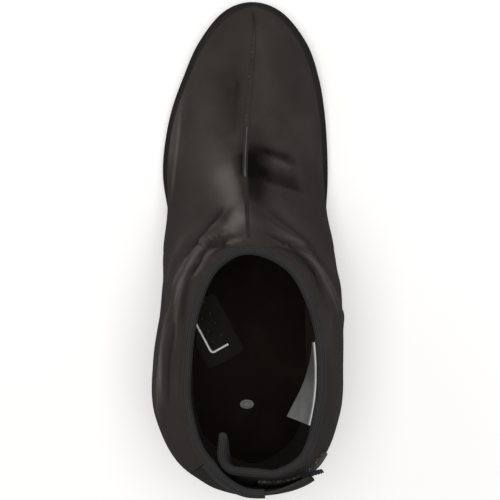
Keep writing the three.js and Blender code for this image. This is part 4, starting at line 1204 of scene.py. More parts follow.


# strokes of painted light and shade on the outer cloth
STROKES: tuple[Stroke, ...] = (
    # painted shade in the hollow left of the seam, and a painted sheen highlight with painted shade at its edge on the
    # right
    Stroke(((-2.48, 10.43), (-3.45, 10.43), (-4.34, 10.91), (-5.05, 12.02)), 11, -0.44),
    Stroke(((1.0, 11.18), (2.05, 10.78), (3.21, 10.23), (4.38, 9.94)), 9, 0.03, 3.0),
    Stroke(((2.32, 7.69), (3.41, 7.79), (4.46, 7.62)), 9, -0.16),
    Stroke(((4.6, 8.6), (5.4, 7.6), (6.4, 6.6)), 12, -0.1),
    # painted shade in the dark folds across the instep
    Stroke(((-5.37, 12.74), (-5.94, 12.95), (-6.3, 12.98)), 5.2, -0.8, 2.6),
    Stroke(((4.9, 11.9), (5.4, 11.4), (5.86, 11.0), (6.49, 11.14), (7.09, 11.76)), 7.5, -0.85, 2.6),
    Stroke(((5.3, 11.2), (5.41, 10.2), (5.51, 9.3), (5.66, 7.9)), 3.0, -0.3),
    Stroke(((6.0, 11.2), (6.12, 10.1), (6.24, 9.0), (6.4, 7.2)), 3.8, -0.5),
    # painted highlights on the left: a broad light band and a bright line
    Stroke(((-3.27, 1.21), (-4.2, 2.8), (-5.17, 3.78), (-5.96, 3.62)), 7, 0.34),
    Stroke(((-3.96, 4.17), (-4.99, 5.18), (-5.98, 5.12), (-6.69, 5.05)), 1.3, 0.4),
    Stroke(((-4.64, 8.31), (-5.61, 9.19), (-6.52, 8.83)), 14, 0.1),
    # painted highlight on the steep cloth pulled up to the collar's front
    Stroke(((-5.74, 9.97), (-6.42, 10.56), (-7.09, 11.05), (-7.42, 12.28)), 8, 0.5),
    Stroke(((-7.19, 12.8), (-7.42, 10.88), (-7.68, 10.26)), 6, 0.6),
    Stroke(((6.77, 10.07), (7.13, 9.35), (7.58, 8.73)), 5, 0.08),
    # painted highlights on the crisp crests and painted shade in the pockets between them, round the front of the
    # collar
    Stroke(((-7.74, 12.54), (-7.86, 10.62), (-7.96, 9.9), (-8.57, 10.3), (-8.89, 10.52)), 1.3, 0.5),
    Stroke(((-7.6, 10.95), (-7.72, 9.9), (-8.0, 9.03), (-8.87, 9.61), (-9.4, 9.77), (-9.8, 9.81),
            (-10.19, 10.13)), 1.4, 0.4),
    Stroke(((-7.52, 7.92), (-8.02, 7.01), (-8.91, 7.27), (-9.56, 7.82)), 3, 0.16),
    Stroke(((-8.89, 10.52), (-9.24, 10.65), (-9.38, 10.26)), 0.9, 0.4),
    Stroke(((-10.23, 9.22), (-10.81, 9.38), (-11.32, 9.58), (-11.77, 9.68)), 1.2, 0.3),
    Stroke(((-7.74, 10.49), (-7.88, 9.97), (-8.04, 9.58), (-8.49, 9.94)), 2.6, -0.75),
    Stroke(((-8.69, 10.04), (-9.28, 10.3), (-9.74, 10.49), (-10.47, 11.01)), 3, -0.5),
    Stroke(((7.74, 10.2), (8.33, 9.48), (9.28, 9.87), (9.82, 9.38), (10.29, 8.93)), 1.2, 0.35),
    Stroke(((7.6, 10.43), (7.78, 9.58), (7.94, 8.44), (8.79, 9.22)), 1.6, 0.16),
    Stroke(((7.92, 10.17), (8.43, 10.13), (9.01, 10.43), (9.58, 10.46), (9.95, 10.43)), 3, -0.55),
    Stroke(((-7.5, 10.13), (-7.23, 10.39), (-7.01, 10.98)), 2.4, -0.3),
    # the shadow at the binding's edge
    Stroke(((-8.2, 12.2), (-9, 12.2), (-10, 12.2), (-11, 12.2), (-12, 12.2), (-12.9, 12.2)), 1.1, -0.5),
    Stroke(((8.2, 12.2), (9, 12.2), (10, 12.2), (11, 12.2), (12, 12.2), (12.9, 12.2)), 1.1, -0.5),
    # painted highlights on the shaft's left side
    Stroke(((-9.8, 9.35), (-10.45, 9.16), (-11.14, 9.42), (-11.79, 9.61)), 1.4, 0.32),
    Stroke(((-9.18, 10.13), (-9.66, 10.07), (-10.23, 10.3), (-10.79, 10.62)), 1.5, 0.28),
)


@dataclass
class Upper:
    """The upper: the whole skin as one wall, closed along the instep seam and open at the heel slit."""

    wall: float = 1.5
    fine: int = 18
    coarse: int = 10
    rand_rows: int = 8
    body_rows: int = 62
    band_rows: int = 8
    # how much painted highlight or painted shade a fold gives its cloth, and the widest fold that gives any
    crest: float = 0.24
    trough: float = -0.42
    widest: float = 5
    # the rows over which the folds start above the rand, and end below the binding
    start: tuple[float, float] = (2.6, 4.2)
    end: tuple[float, float] = (11.6, 10.4)

    def stations(self) -> np.ndarray:
        """The columns' stations, closer together round the front of the collar and where the underlap curls."""
        stops = [(LAST.slit_left, self.coarse), (-11, self.fine), (-5, self.coarse), (5, self.fine),
                 (11, self.coarse), (LAST.slit_end - LAST.curl_stations, 4 * self.coarse), (LAST.slit_end, 0)]
        parts = [np.linspace(a, b, round((b - a) * density), endpoint=False)
                 for (a, density), (b, _) in zip(stops, stops[1:])]
        return np.concatenate([*parts, [stops[-1][0]]])

    def rows(self) -> np.ndarray:
        """The rows, closer together towards the collar."""
        share = np.linspace(0, 1, self.body_rows + 1)
        body = RAND_TOP + (BAND_FOOT - RAND_TOP) * (1 - (1 - share) ** 1.3)
        rows = np.concatenate([np.linspace(0, RAND_TOP, self.rand_rows, endpoint=False), body,
                               np.linspace(BAND_FOOT, CREST, self.band_rows + 1)[1:]])
        rows[np.argmin(np.abs(rows - LAST.slit_row))] = LAST.slit_row
        return rows

    def drape(self, points: np.ndarray, row: np.ndarray) -> np.ndarray:
        """How far the cloth's folds lift each point: nothing under the rand and the binding."""
        lift = sum((fold.rise(points) for fold in FOLDS), np.zeros(points.shape[:-1]))
        return lift * smoothstep(*self.start, row) * smoothstep(*self.end, row)

    def surface(self, station: np.ndarray, row: np.ndarray) -> tuple[np.ndarray, np.ndarray]:
        """The outer face with its folds, and its normals."""
        points, normals = LAST.wall_grid(station, row)
        flat, _ = np.broadcast_arrays(row, station)
        return points + normals * self.drape(points, flat)[..., None], normals

    def lift_at(self, points: np.ndarray, station: np.ndarray, level: np.ndarray) -> np.ndarray:
        """The folds' lift at places on the skin that are given by level."""
        knots = np.arange(CREST + 1.0)
        places = LAST.row_level(station[:, :1], knots[None])
        rows = np.stack([np.interp(at, place, knots) for at, place in zip(level, places)])
        return self.drape(points, rows)

    def build(self) -> bpy.types.Object:
        """Makes the upper's wall, with the strip that closes it below the slit."""
        stations, rows = self.stations(), self.rows()
        grid, normals = self.surface(stations[:, None], rows[None])
        low = rows <= LAST.slit_row + 1e-6
        share = np.linspace(0, 1, 5)[:, None, None]
        strip = grid[-1, low] * (1 - share) + grid[0, low] * share
        parts = [grid_piece("wall", facing(grid, normals)), grid_piece("strip", facing(strip, normals[-1, low]))]
        piece = joined("visual_upper", parts)
        merge_doubles(piece, WELD)
        apply_modifier(piece, "SOLIDIFY", thickness=self.wall * MM, offset=-1, use_quality_normals=True,
                       material_offset=1)
        dress(piece, Finish.WEAVE, Finish.LINING, degrees=60)
        self.shade(piece)
        return place_piece(piece, "membrane", "upper")

    def shade(self, piece: bpy.types.Object) -> None:
        """Writes the painted light and shade on the vertices as tone: the strokes, and each fold's lit crest or dark
        trough.
        """
        mesh = piece.data
        flat = np.empty(len(mesh.vertices) * 3)
        mesh.vertices.foreach_get("co", flat)
        points = flat.reshape(-1, 3) / MM - SHIFT
        tone = sum((stroke.shade(points) for stroke in STROKES), np.zeros(len(points)))
        for fold in FOLDS:
            if fold.width <= self.widest:
                strength = self.crest if fold.height > 0 else self.trough
                tone += strength * min(abs(fold.height), 1.6) * fold.rise(points) / fold.height
        # the tone attribute carries this painted light and shade to the weave's material
        layer = mesh.attributes.new("tone", "FLOAT", "POINT")
        layer.data.foreach_set("value", np.clip(tone, -1, 1))


@dataclass
class RaisedSeam:
    """A narrow raised strip over a line of the skin, arched across."""

    width: float = 3.4
    thickness: float = 0.35
    stitch: float = 2.1
    stitch_gap: float = 1.3
    steps: int = 220
    # the steps along the instep seam that show a dark thread, a thin pale line of painted highlight, and the
    # topstitching
    dark: tuple[int, int] = (0, 60)
    light: tuple[int, int] = (128, 176)
    stitched: tuple[int, int] = (40, 126)

    def strip(self, name: str, points: np.ndarray, normals: np.ndarray) -> bpy.types.Object:
        """A strip with soft edges.

        Args:
            name: The piece's name.
            points: The skin's points, steps along it by steps across it by three.
            normals: Their outward normals.

        Returns:
            The piece.
        """
        count = points.shape[1]
        across = np.linspace(-1, 1, count)
        height = self.thickness * np.sqrt(np.maximum(0, 1 - np.abs(across) ** 3)) + 0.05
        return offset_piece(name, points, normals, height[None, :, None], -0.25)

    def instep(self, upper: Upper) -> bpy.types.Object:
        """The lapped seam from the toe to the collar's binding."""
        stations = np.linspace(0.12, LAST.collar_station - 6.6 / 27, self.steps)
        share = np.linspace(-1, 1, 9)
        level = LAST.level_below_crest(stations, self.width / 2)
        signed = np.where(share < 0, -1, 1)
        s = stations[:, None] * signed
        lev = 1 - (1 - level[:, None]) * np.abs(share)
        points, normals = LAST.points(s, lev), LAST.normals(s, np.broadcast_to(lev, s.shape))
        points = points + normals * upper.lift_at(points, s, lev)[..., None]
        strip = self.strip("strip", points, normals)
        dress(strip, Finish.SEAM)
        middle = points[:, 4] + normals[:, 4] * self.thickness
        dark, light, stitched = (slice(*steps) for steps in (self.dark, self.light, self.stitched))
        # a dark thread, and a thin pale tube of painted highlight along the seam's edge
        threads_and_highlight = [self.thread(middle[dark], normals[dark, 4], 0.35, Finish.PINHOLE),
                   self.thread(middle[light], normals[light, 4], 0.3, Finish.LIGHT_THREAD)]
        lower, up = (points[stitched, 1] + points[stitched, 2]) / 2, normals[stitched, 1]
        piece = joined("visual_instep_seam", [strip, *threads_and_highlight, *self.stitches(lower + up * self.thickness, up)])
        return place_piece(piece, "membrane", "instep_seam")

    @staticmethod
    def thread(line: np.ndarray, up: np.ndarray, radius: float, finish: Finish) -> bpy.types.Object:
        """A thread, a fine ridge or a thin line of painted highlight that lies along a line.

        Args:
            line: The line's points on the surface.
            up: The surface's normals there.
            radius: Half its width, in millimetres.
            finish: Its finish.

        Returns:
            The thread.
        """
        ahead = unit(np.gradient(line, axis=0))
        side = unit(np.cross(ahead, up))
        ring = [line + side * radius * math.cos(a) + up * radius * 0.8 * math.sin(a)
                for a in np.linspace(0, 2 * math.pi, 9)[:-1]]
        made = tube_piece("thread", np.stack(ring, 1), weld=FINE_WELD)
        dress(made, finish, degrees=60)
        return made

    def stitches(self, line: np.ndarray, up: np.ndarray) -> list[bpy.types.Object]:
        """The stitches of a row of topstitching along a line."""
        ran = np.concatenate([[0], np.cumsum(np.linalg.norm(np.diff(line, axis=0), axis=1))])
        made = []
        for start in np.arange(1, ran[-1] - self.stitch, self.stitch + self.stitch_gap):
            at = start + np.linspace(0, self.stitch, 7)
            path, normal = (np.stack([np.interp(at, ran, rows[:, axis]) for axis in range(3)], -1)
                            for rows in (line, up))
            dip = (np.abs(np.linspace(-1, 1, 7)) ** 3)[:, None] * 0.35
            made.append(self.thread(path - normal * dip, normal, 0.26, Finish.THREAD))
        return made

    def heel(self) -> bpy.types.Object:
        """The short seam at the back of the heel, from the rand to the slit."""
        rows = np.linspace(RAND_TOP + 0.1, LAST.slit_row - 0.1, 60)
        half = self.width / 2 / 26
        stations = LAST.heel_station + np.linspace(-half, half, 9)
        level = LAST.row_level(LAST.heel_station, rows)
        points = LAST.points(stations[None], level[:, None])
        piece = self.strip("visual_heel_seam", points, LAST.normals(stations[None], level[:, None]))
        dress(piece, Finish.SEAM)
        return place_piece(piece, "membrane", "heel_seam")


@dataclass
class Sole:
    """The sole: a slab with its edge turned up over the upper, a step round its foot, and tread bars."""

    rand_wall: float = 1.4
    foot_wall: float = 2.3
    inset: float = 5
    per_station: int = 12
    bar_top: float = 0.8
    bar_edge: float = 0.6
    bar_shift: float = 0.01
    # along and depth are shares of the length, width is a share of the ball's width
    bars: dict[str, list[float]] = field(default_factory=lambda: {
        "along": [0.955, 0.9, 0.845, 0.79, 0.735, 0.68, 0.625, 0.57, 0.2, 0.14, 0.08],
        "width": [0.34, 0.62, 0.8, 0.9, 0.95, 0.96, 0.95, 0.88, 0.7, 0.68, 0.5],
        "depth": [0.022, 0.026, 0.026, 0.026, 0.026, 0.026, 0.026, 0.026, 0.03, 0.03, 0.03],
    })

    @staticmethod
    def line_ring(stations: np.ndarray, offset: float, inner: bool = False, rise: float = 0.0) -> np.ndarray:
        """The sole line moved outwards, on the sole's underside or at another surface.

        Args:
            stations: The stations.
            offset: How far the line moves outwards.
            inner: Whether the ring lies on the slab's inner face, not on its underside.
            rise: How far the ring lies above that face.

        Returns:
            The ring's points.
        """
        points = LAST.foot(stations) + LAST.outward(stations) * offset
        face = LAST.sole_top if inner else LAST.sole_bottom
        points[:, 2] = face(points[:, 1]) + rise
        return points

    @staticmethod
    def skin_ring(stations: np.ndarray, row: float, offset: float, rise: float) -> np.ndarray:
        """The skin at one row, moved outwards and up."""
        level = LAST.row_level(stations, row)
        return LAST.points(stations, level) + LAST.normals(stations, level) * offset + [0, 0, rise]

    def slab(self) -> bpy.types.Object:
        """The slab, its rand and the step round its foot."""
        heel = LAST.heel_station
        s = np.linspace(-heel, heel, LAST.turn * self.per_station + 1)[:-1]
        foot, wall = LAST.gap + self.foot_wall, LAST.gap + self.rand_wall
        under = ((foot - 1.5, 0), (foot - 0.7, 0.15), (foot - 0.2, 0.5), (foot, 1.0))
        # the rows, offsets and rises of the rand, up its outer face and down its inner one
        turned_up = ((0, foot, 0), (0.5, foot, 0), (0.92, foot, 0), (1, foot - 0.12, 0.25), (1, foot - 0.45, 0.55),
                     (1, wall + 0.1, 0.75), (1, wall, 1.2), (1.6, wall, 0), (2.0, wall - 0.25, 0),
                     (2.6, wall - 0.75, 0), (3, wall - 1.12, 0), (3, 0.2, 0.2), (2.9, 0.06, 0),
                     (2, LAST.gap * 0.4, 0), (1, LAST.gap, 0))
        rings = [*(self.line_ring(s, offset, rise=rise) for offset, rise in under),
                 *(self.skin_ring(s, row, offset, rise) for row, offset, rise in turned_up),
                 self.line_ring(s, LAST.gap, inner=True)]
        mirror = (-np.arange(len(s))) % len(s)
        inner, outer = rings[-1], rings[0]

        def closing(ring: np.ndarray, share: float) -> np.ndarray:
            """The ring drawn in towards the line down its middle."""
            middle = (ring + ring[mirror]) / 2
            return ring * share + middle * (1 - share)

        below = [closing(outer, share) for share in (0, 0.35, 0.7, 0.93)]
        above = [closing(inner, share) for share in (0.93, 0.7, 0.35, 0)]
        grid = np.stack([*below, *rings, *above], 1)
        for row in (*range(4), *range(-4, 0)):
            face = LAST.sole_bottom if row >= 0 else LAST.sole_top
            grid[:, row, 2] = face(grid[:, row, 1])
        piece = grid_piece("slab", grid, closed_columns=True)
        face_outwards(piece)
        return piece

    def bar(self, along: float, width: float, depth: float) -> bpy.types.Object:
        """One tread bar, cut to the sole's outline, with softened edges."""
        half, bottom, soft = LAST.length * depth / 2, -LAST.lug_height, self.bar_edge
        back = [(-half, self.bar_top), (-half, bottom + soft), (-half + soft * 0.3, bottom + soft * 0.3),
                (-half + soft, bottom)]
        front = [(-ahead, rise) for ahead, rise in back[::-1]]
        ahead, rise = np.array([*back, (0, bottom), *front]).T
        y = LAST.length * (along - 0.5) + ahead
        low = np.maximum(LAST.edge_x(y, -1, self.inset), LAST.ball_width * (-width / 2 - self.bar_shift))
        high = np.minimum(LAST.edge_x(y, 1, self.inset), LAST.ball_width * (width / 2 - self.bar_shift))
        z = LAST.sole_bottom(y) + rise
        return tube_piece("bar", np.array([np.stack([(low + high) / 2 + (high - low) / 2 * share, y, z], -1)
                                           for share in np.linspace(-1, 1, 25)]))

    def build(self) -> bpy.types.Object:
        """Makes the sole in one piece."""
        bars = (self.bar(*sizes) for sizes in zip(*(self.bars[name] for name in ("along", "width", "depth"))))
        piece = joined("visual_sole", [self.slab(), *bars])
        dress(piece, Finish.SOLE, Finish.INSOLE, degrees=45)
        # the slab's inner face takes the darker rubber: painted shade inside the shoe
        for face in piece.data.polygons:
            place = np.array(face.center) / MM - SHIFT
            inside = abs(place[2] - float(LAST.sole_top(place[1]))) < 0.3 and face.normal.z > 0.5
            face.material_index = 1 if inside else 0
        return place_piece(piece, "rubber_sole", "sole")


@dataclass
class Binding:
    """The collar's binding: a ribbed band folded over the rim, from the flap round the collar and down the
    underlap's edge."""

    wall: float = 1.3
    gap: float = 0.45
    steps: int = 6
    leg: float = 6.4
    down_leg: float = 0.19
    last_row: float = 8.7
    outer_from: int = 3
    front_share: float = 0.6

    @property
    def leg_row(self) -> float:
        """The row at which the legs end."""
        return CREST - (CREST - BAND_FOOT) * self.leg / LAST.binding_height

    def _legs(self, edge: np.ndarray, root: np.ndarray, flap: bool = False) -> tuple[np.ndarray, np.ndarray]:
        """The skin down the band's legs.

        Args:
            edge: The station and row of the edge at each step of the way.
            root: The station and row where the legs end there.
            flap: Whether the band lies on the flap.

        Returns:
            The skin's points from the legs' ends to the edge, and their normals.
        """
        share = np.linspace(0, 1, self.steps)[None, :, None]
        way = root[:, None] * (1 - share) + edge[:, None] * share
        grid = LAST.flap_grid if flap else LAST.wall_grid
        return grid(way[..., 0], way[..., 1])

    def _rim(self, station: np.ndarray, flap: bool = False) -> tuple[np.ndarray, np.ndarray]:
        """The legs along the rim, where they hang straight down."""
        edge, root = (np.stack([station, np.full(station.shape, row)], -1) for row in (float(CREST), self.leg_row))
        return self._legs(edge, root, flap)

    def _underlap(self) -> tuple[np.ndarray, np.ndarray]:
        """The legs round the underlap's corner and down its edge."""
        end, low = LAST.slit_end, self.leg_row
        inner = end - self.down_leg
        turn = np.linspace(0, 1, 12)
        edge = [(inner + self.down_leg * t, CREST) for t in turn]
        edge += [(end, CREST - (CREST - low) * t) for t in turn[1:]]
        crowd = np.linspace(-1, 1, len(edge))
        root = [(inner + 0.03 * min(t, 0), low - 0.12 * max(t, 0)) for t in crowd]
        rows = np.linspace(low - 0.25, self.last_row, 22)
        edge += [(end, row) for row in rows]
        root += [(inner, row) for row in rows]
        return self._legs(np.array(edge), np.array(root))

    def path(self) -> tuple[np.ndarray, np.ndarray, np.ndarray]:
        """The band's way along the rim.

        Returns:
            The skin's points from the legs' feet to the edge, their normals, and the wall's offset at each step.
        """
        flap = LAST.seam_station(np.linspace(LAST.flap_span * LAST.flap_bound, 0.0, 50))
        inner = LAST.slit_end - self.down_leg
        parts = [self._rim(flap, True), self._rim(np.linspace(LAST.slit_left, -LAST.collar_station - 0.02, 110)),
                 self._front(), self._rim(np.linspace(LAST.collar_station + 0.02, inner - 0.03, 180)),
                 self._underlap()]
        points, normals = (np.concatenate([part[side] for part in parts]) for side in (0, 1))
        offset = np.concatenate([LAST.flap_offset(flap, CREST) + LAST.wall, np.zeros(len(points) - len(flap))])
        return points, normals, offset

    def _front(self) -> tuple[np.ndarray, np.ndarray]:
        """The legs round the front, where their feet cross the instep seam in an even curve."""
        corner = LAST.collar_station
        down = np.linspace(self.leg, 0, self.steps)
        turn = np.linspace(-math.pi / 2, math.pi / 2, 33)[:, None]
        pitch = float(np.linalg.norm(LAST.crest(np.array(7.0)) - LAST.crest(np.array(7.999))))
        side = np.array([float(LAST.level_below_crest(np.array(float(corner)), far)) for far in down])
        ahead = down / pitch * self.front_share
        station = np.where(turn < 0, -1, 1) * (corner - ahead[None] * np.cos(turn) - 0.02 * (np.cos(turn) > 0.01))
        level = 1 - (1 - side[None]) * np.abs(np.sin(turn))
        return LAST.points(station, level), LAST.normals(station, level)

    def build(self) -> bpy.types.Object:
        """Makes the band."""
        points, normals, offset = self.path()
        up = unit(points[:, -1] - points[:, -2])
        outer = (offset + self.gap + self.wall)[:, None, None]
        inner = (offset - LAST.wall - self.gap - self.wall)[:, None, None]
        outside = (points + normals * outer)[:, self.outer_from:]
        inside = points + normals * inner
        centre = (outside[:, -1] + inside[:, -1]) / 2
        arm = (outside[:, -1] - inside[:, -1]) / 2
        radius = np.linalg.norm(arm, axis=1, keepdims=True)
        arch = [centre + arm * math.cos(a) + up * radius * 0.85 * math.sin(a)
                for a in np.linspace(0, math.pi, 9)[1:-1]]
        lining_out = (points + normals * (outer - self.wall))[:, self.outer_from:]
        lining_in = points + normals * (inner + self.wall)
        section = np.concatenate([outside, np.stack(arch, 1), inside[:, ::-1], lining_in[:, :1], lining_in[:, -1:],
                                  lining_out[:, -1:], lining_out[:, :1]], 1)
        piece = tube_piece("visual_collar_binding", section)
        dress(piece, Finish.KNIT, degrees=70)
        return place_piece(piece, "binding", "collar_binding")


@dataclass
class Closure:
    """The heel's closure: the flap, its hook tape, the loop tape on the underlap and the pull tab."""

    tape: float = 1.3
    tab_length: float = 13
    tab_width: float = 9
    tab_thickness: float = 2.4
    tab_level: float = 0.86
    tab_hold: float = 4
    tab_turn: float = math.radians(22)

    def flap(self) -> bpy.types.Object:
        """The flap, from its seam on the left panel round the heel."""
        place = LAST.seam_station(np.linspace(0, LAST.flap_span, 90))[:, None], np.linspace(LAST.slit_row, CREST, 40)
        stand = LAST.flap_offset(*place)[..., None]
        piece = offset_piece("visual_closure_flap", *LAST.flap_grid(*place), stand + LAST.wall, stand)
        dress(piece, Finish.FLAP, degrees=60)
        return place_piece(piece, "membrane", "closure_flap")

    def tapes(self) -> list[bpy.types.Object]:
        """The hook tape inside the flap, and the loop tape on the underlap."""
        span, low = LAST.flap_span, LAST.slit_row + 1
        place = LAST.seam_station(np.linspace(0.68, span - 0.26, 60))[:, None], np.linspace(low, BAND_FOOT, 26)
        stand = LAST.flap_offset(*place)[..., None] - 0.05
        hooks = offset_piece("visual_hook_tape", *LAST.flap_grid(*place), stand, stand - LAST.gap - self.tape)
        dress(hooks, Finish.HOOKS)
        place = LAST.seam_station(np.linspace(1.05, span + 0.4, 60))[:, None], np.linspace(low, BAND_FOOT - 1, 22)
        loops = offset_piece("visual_loop_tape", *LAST.wall_grid(*place), LAST.gap + self.tape, 0.02)
        dress(loops, Finish.LOOPS)
        return [place_piece(hooks, "hook_tape", "hook_tape"), place_piece(loops, "loop_tape", "loop_tape")]

    def tab(self) -> bpy.types.Object:
        """The ribbed rubber tongue inside the flap's free end."""
        station = LAST.flap_end + 0.02
        point, above, below = LAST.points(station, self.tab_level + np.array([0, 0.01, -0.01]))
        normal = LAST.normals(station, self.tab_level)
        up = unit(above - below)
        forward = unit(np.cross(up, normal))
        turn = -self.tab_turn
        free = forward * math.cos(turn) + np.cross(up, forward) * math.sin(turn)
        base = point + normal * (float(LAST.flap_offset(np.array(station), 10.0)) - 3 * LAST.gap - self.tab_thickness)
        reach = np.linspace(-self.tab_hold, self.tab_length - self.tab_hold, 72)
        across = np.linspace(-1, 1, 13)
        half = self.tab_width / 2 * (1 - 0.6 * smoothstep(5, self.tab_length - self.tab_hold + 1, reach))
        line = base + reach[:, None] * np.where(reach[:, None] > 0, free, forward)
        points = line[:, None] + up * (half[:, None] * across[None])[..., None]
        rib = 0.28 * np.sin(reach * 2 * math.pi / 1.7) * smoothstep(0.5, 1.5, reach) * smoothstep(9, 8, reach)
        edge = np.sqrt(np.maximum(0, 1 - np.abs(across) ** 5))
        outer = (self.tab_thickness * 0.5 * (1 + edge) + rib[:, None] * edge)[..., None]
        inner = (self.tab_thickness * 0.5 * (1 - edge))[:, None]
        piece = offset_piece("visual_pull_tab", points, normal, outer, inner)
        dress(piece, Finish.TAB)
        return place_piece(piece, "tab", "pull_tab")

    def build(self) -> list[bpy.types.Object]:
        """Makes the closure's pieces."""
        return [self.flap(), *self.tapes(), self.tab()]


@dataclass
class CareLabel:
    """The blank folded label that hangs inside the right wall."""

    thickness: float = 0.6
    drop: float = 24
    # the binding that it hangs beside, and how far below the collar's line it starts
    band_wall: float = 1.3
    band_gap: float = 0.6
    below: float = 3
    # the unfolded label's size, in metres
    flat_length: float = 0.058
    flat_width: float = 0.047
    # how far the two leaves swing in from the wall at each station, as shares of the drop
    steps: dict[str, list[float]] = field(default_factory=lambda: {
        "station": [10.7, 11.1, 11.5, 11.9, 12.3],
        "near": [-0.05, 0.0, 0.06, 0.13, 0.19],
        "far": [-0.02, 0.08, 0.21, 0.35, 0.49],
    })

    def build(self) -> bpy.types.Object:
        """Makes the label: one leaf folded over at its top."""
        stations = np.linspace(self.steps["station"][0], self.steps["station"][-1], 50)
        near, far = (np.interp(stations, self.steps["station"], self.steps[name]) for name in ("near", "far"))
        hang = LAST.wall + 2 * self.band_gap + self.band_wall + self.thickness
        normal = LAST.normals(stations, np.ones(len(stations)))
        inward = -unit(normal * [1, 1, 0])
        top = LAST.points(stations, LAST.level_below_crest(stations, self.below)) + inward * hang
        columns = []
        fall = np.linspace(1, 0, 18)
        for index in range(len(stations)):
            sag = 0.35 * math.sin(index / 9.0)
            first = [top[index] + inward[index] * (self.drop * near[index] * f + sag * f) - [0, 0, self.drop * f]
                     for f in fall]
            second = [top[index] + inward[index] * (self.drop * far[index] * f**1.15 + 2 * self.thickness - sag * f)
                      - [0, 0, self.drop * 0.9 * f] for f in fall[::-1]]
            arch = [top[index] + inward[index] * (self.thickness * (1 - math.cos(a)))
                    + [0, 0, 0.5 * math.sin(a)] for a in np.linspace(0, math.pi, 7)[1:-1]]
            columns.append([*first, *arch, *second])
        piece = grid_piece("visual_care_label", np.array(columns))
        apply_modifier(piece, "SOLIDIFY", thickness=self.thickness * 0.7 * MM, offset=0)
        face_outwards(piece)
        dress(piece, Finish.LABEL, Finish.LABEL_GREY)
        # the inner leaf takes the grey satin: painted shade inside the label's fold
        for face in piece.data.polygons:
            place = np.array(face.center) / MM - SHIFT
            column = int(np.argmin(np.linalg.norm(top[:, :2] - place[:2], axis=1)))
            inner = (place - top[column]) @ inward[column]
            fallen = max(0.0, top[column][2] - place[2])
            split = fallen * (near[column] * 0.35 + far[column] * 0.65) + self.thickness
            face.material_index = 1 if inner > split else 0
        return place_piece(piece, "label", "care_label")


@dataclass
class SolePatch:
    """The rubber tongue bonded inside the sole, with its pale line and its pinholes."""

    length: float = 44
    width: float = 27
    thickness: float = 1.2
    inset: float = 3
    along: float = 0.295
    side: float = -0.25
    turn: float = math.radians(28)
    corner: float = 4
    # places along and across the patch, in millimetres
    holes: tuple[tuple[float, float], ...] = (
        (18.9, 4.8), (10.7, 4.8), (9.7, -1.6), (3.4, 4.7), (1.0, -1.8), (-5.3, 4.4), (-6.9, -2.3))

    def place(self, along: np.ndarray, across: np.ndarray, rise: float) -> np.ndarray:
        """Points on the patch, from millimetres along and across it, held inside the sole's outline."""
        x = across * math.cos(self.turn) - along * math.sin(self.turn) + LAST.ball_width * self.side
        y = across * math.sin(self.turn) + along * math.cos(self.turn) + LAST.length * (self.along - 0.5)
        x = np.maximum(x, LAST.edge_x(y, -1, self.inset))
        return np.stack([x, y, LAST.sole_top(y) + 2 * LAST.gap + rise], -1)

    def build(self) -> bpy.types.Object:
        """Makes the patch with its pale line and its pinholes."""
        share = np.linspace(-1, 1, 61)
        along = self.length / 2 * np.sign(share) * (1 - (1 - np.abs(share)) ** 1.5)
        left = np.maximum(0, self.corner - (self.length / 2 - np.abs(along)))
        reach = self.width / 2 - self.corner + np.sqrt(np.maximum(0, self.corner**2 - left**2))
        across = np.linspace(-1, 1, 21)
        a, c = np.broadcast_to(along[:, None], (61, 21)), reach[:, None] * across[None]
        rim = (1 - np.abs(across) ** 12)[None] * (1 - np.abs(share) ** 24)[:, None]
        top = self.place(a, c, self.thickness) + [0, 0, 1] * (0.25 * (rim - 1))[..., None]
        bottom = self.place(a, c, -0.4)
        patch = tube_piece("visual_sole_patch", np.concatenate([top, bottom[:, ::-1]], 1))
        dress(patch, Finish.PATCH)
        piece = joined("visual_sole_patch", [patch, self.mark(), *self.pinholes()])
        return place_piece(piece, "rubber_sole", "sole_patch")

    def mark(self) -> bpy.types.Object:
        """The pale line with one rounded corner."""
        turn = np.linspace(0, math.pi / 2, 9)[1:-1]
        low, high, across, end, bend = -13.0, 9.5, -6.5, 5.8, 2.2
        path = [(high, across), *((low + bend - bend * math.sin(a), across + bend - bend * math.cos(a)) for a in turn),
                (low + 0.3, end)]
        along, side = np.array(path).T
        knots = np.linspace(0, 1, len(along))
        fine = np.linspace(0, 1, 40)
        line = self.place(np.interp(fine, knots, along), np.interp(fine, knots, side), self.thickness + 0.05)
        ahead = unit(np.gradient(line, axis=0))
        across_line = unit(np.cross(ahead, [0, 0, 1]))
        ring = [line + across_line * (0.62 * c) + [0, 0, 0.14 * r]
                for c, r in ((-1, -1), (-1, 0.6), (-0.7, 1), (0.7, 1), (1, 0.6), (1, -1))]
        made = tube_piece("mark", np.stack(ring, 1), weld=FINE_WELD)
        dress(made, Finish.PALE_LINE, degrees=40)
        return made

    def pinholes(self) -> list[bpy.types.Object]:
        """The rims of the small holes in two staggered rows."""
        profile = ((0, 0.01), (0.3, 0.01), (0.42, 0.1), (0.55, 0.0), (0.55, -0.1), (0.0, -0.1))
        made = []
        for along, across in self.holes:
            centre = self.place(np.array(along), np.array(across), self.thickness + 0.02)
            rows = [centre + oval(radius, radius, z, 12) for radius, z in profile]
            dot = grid_piece("dot", np.stack(rows, 1), closed_columns=True, weld=FINE_WELD)
            face_outwards(dot)
            dress(dot, Finish.PINHOLE, degrees=0)
            made.append(dot)
        return made


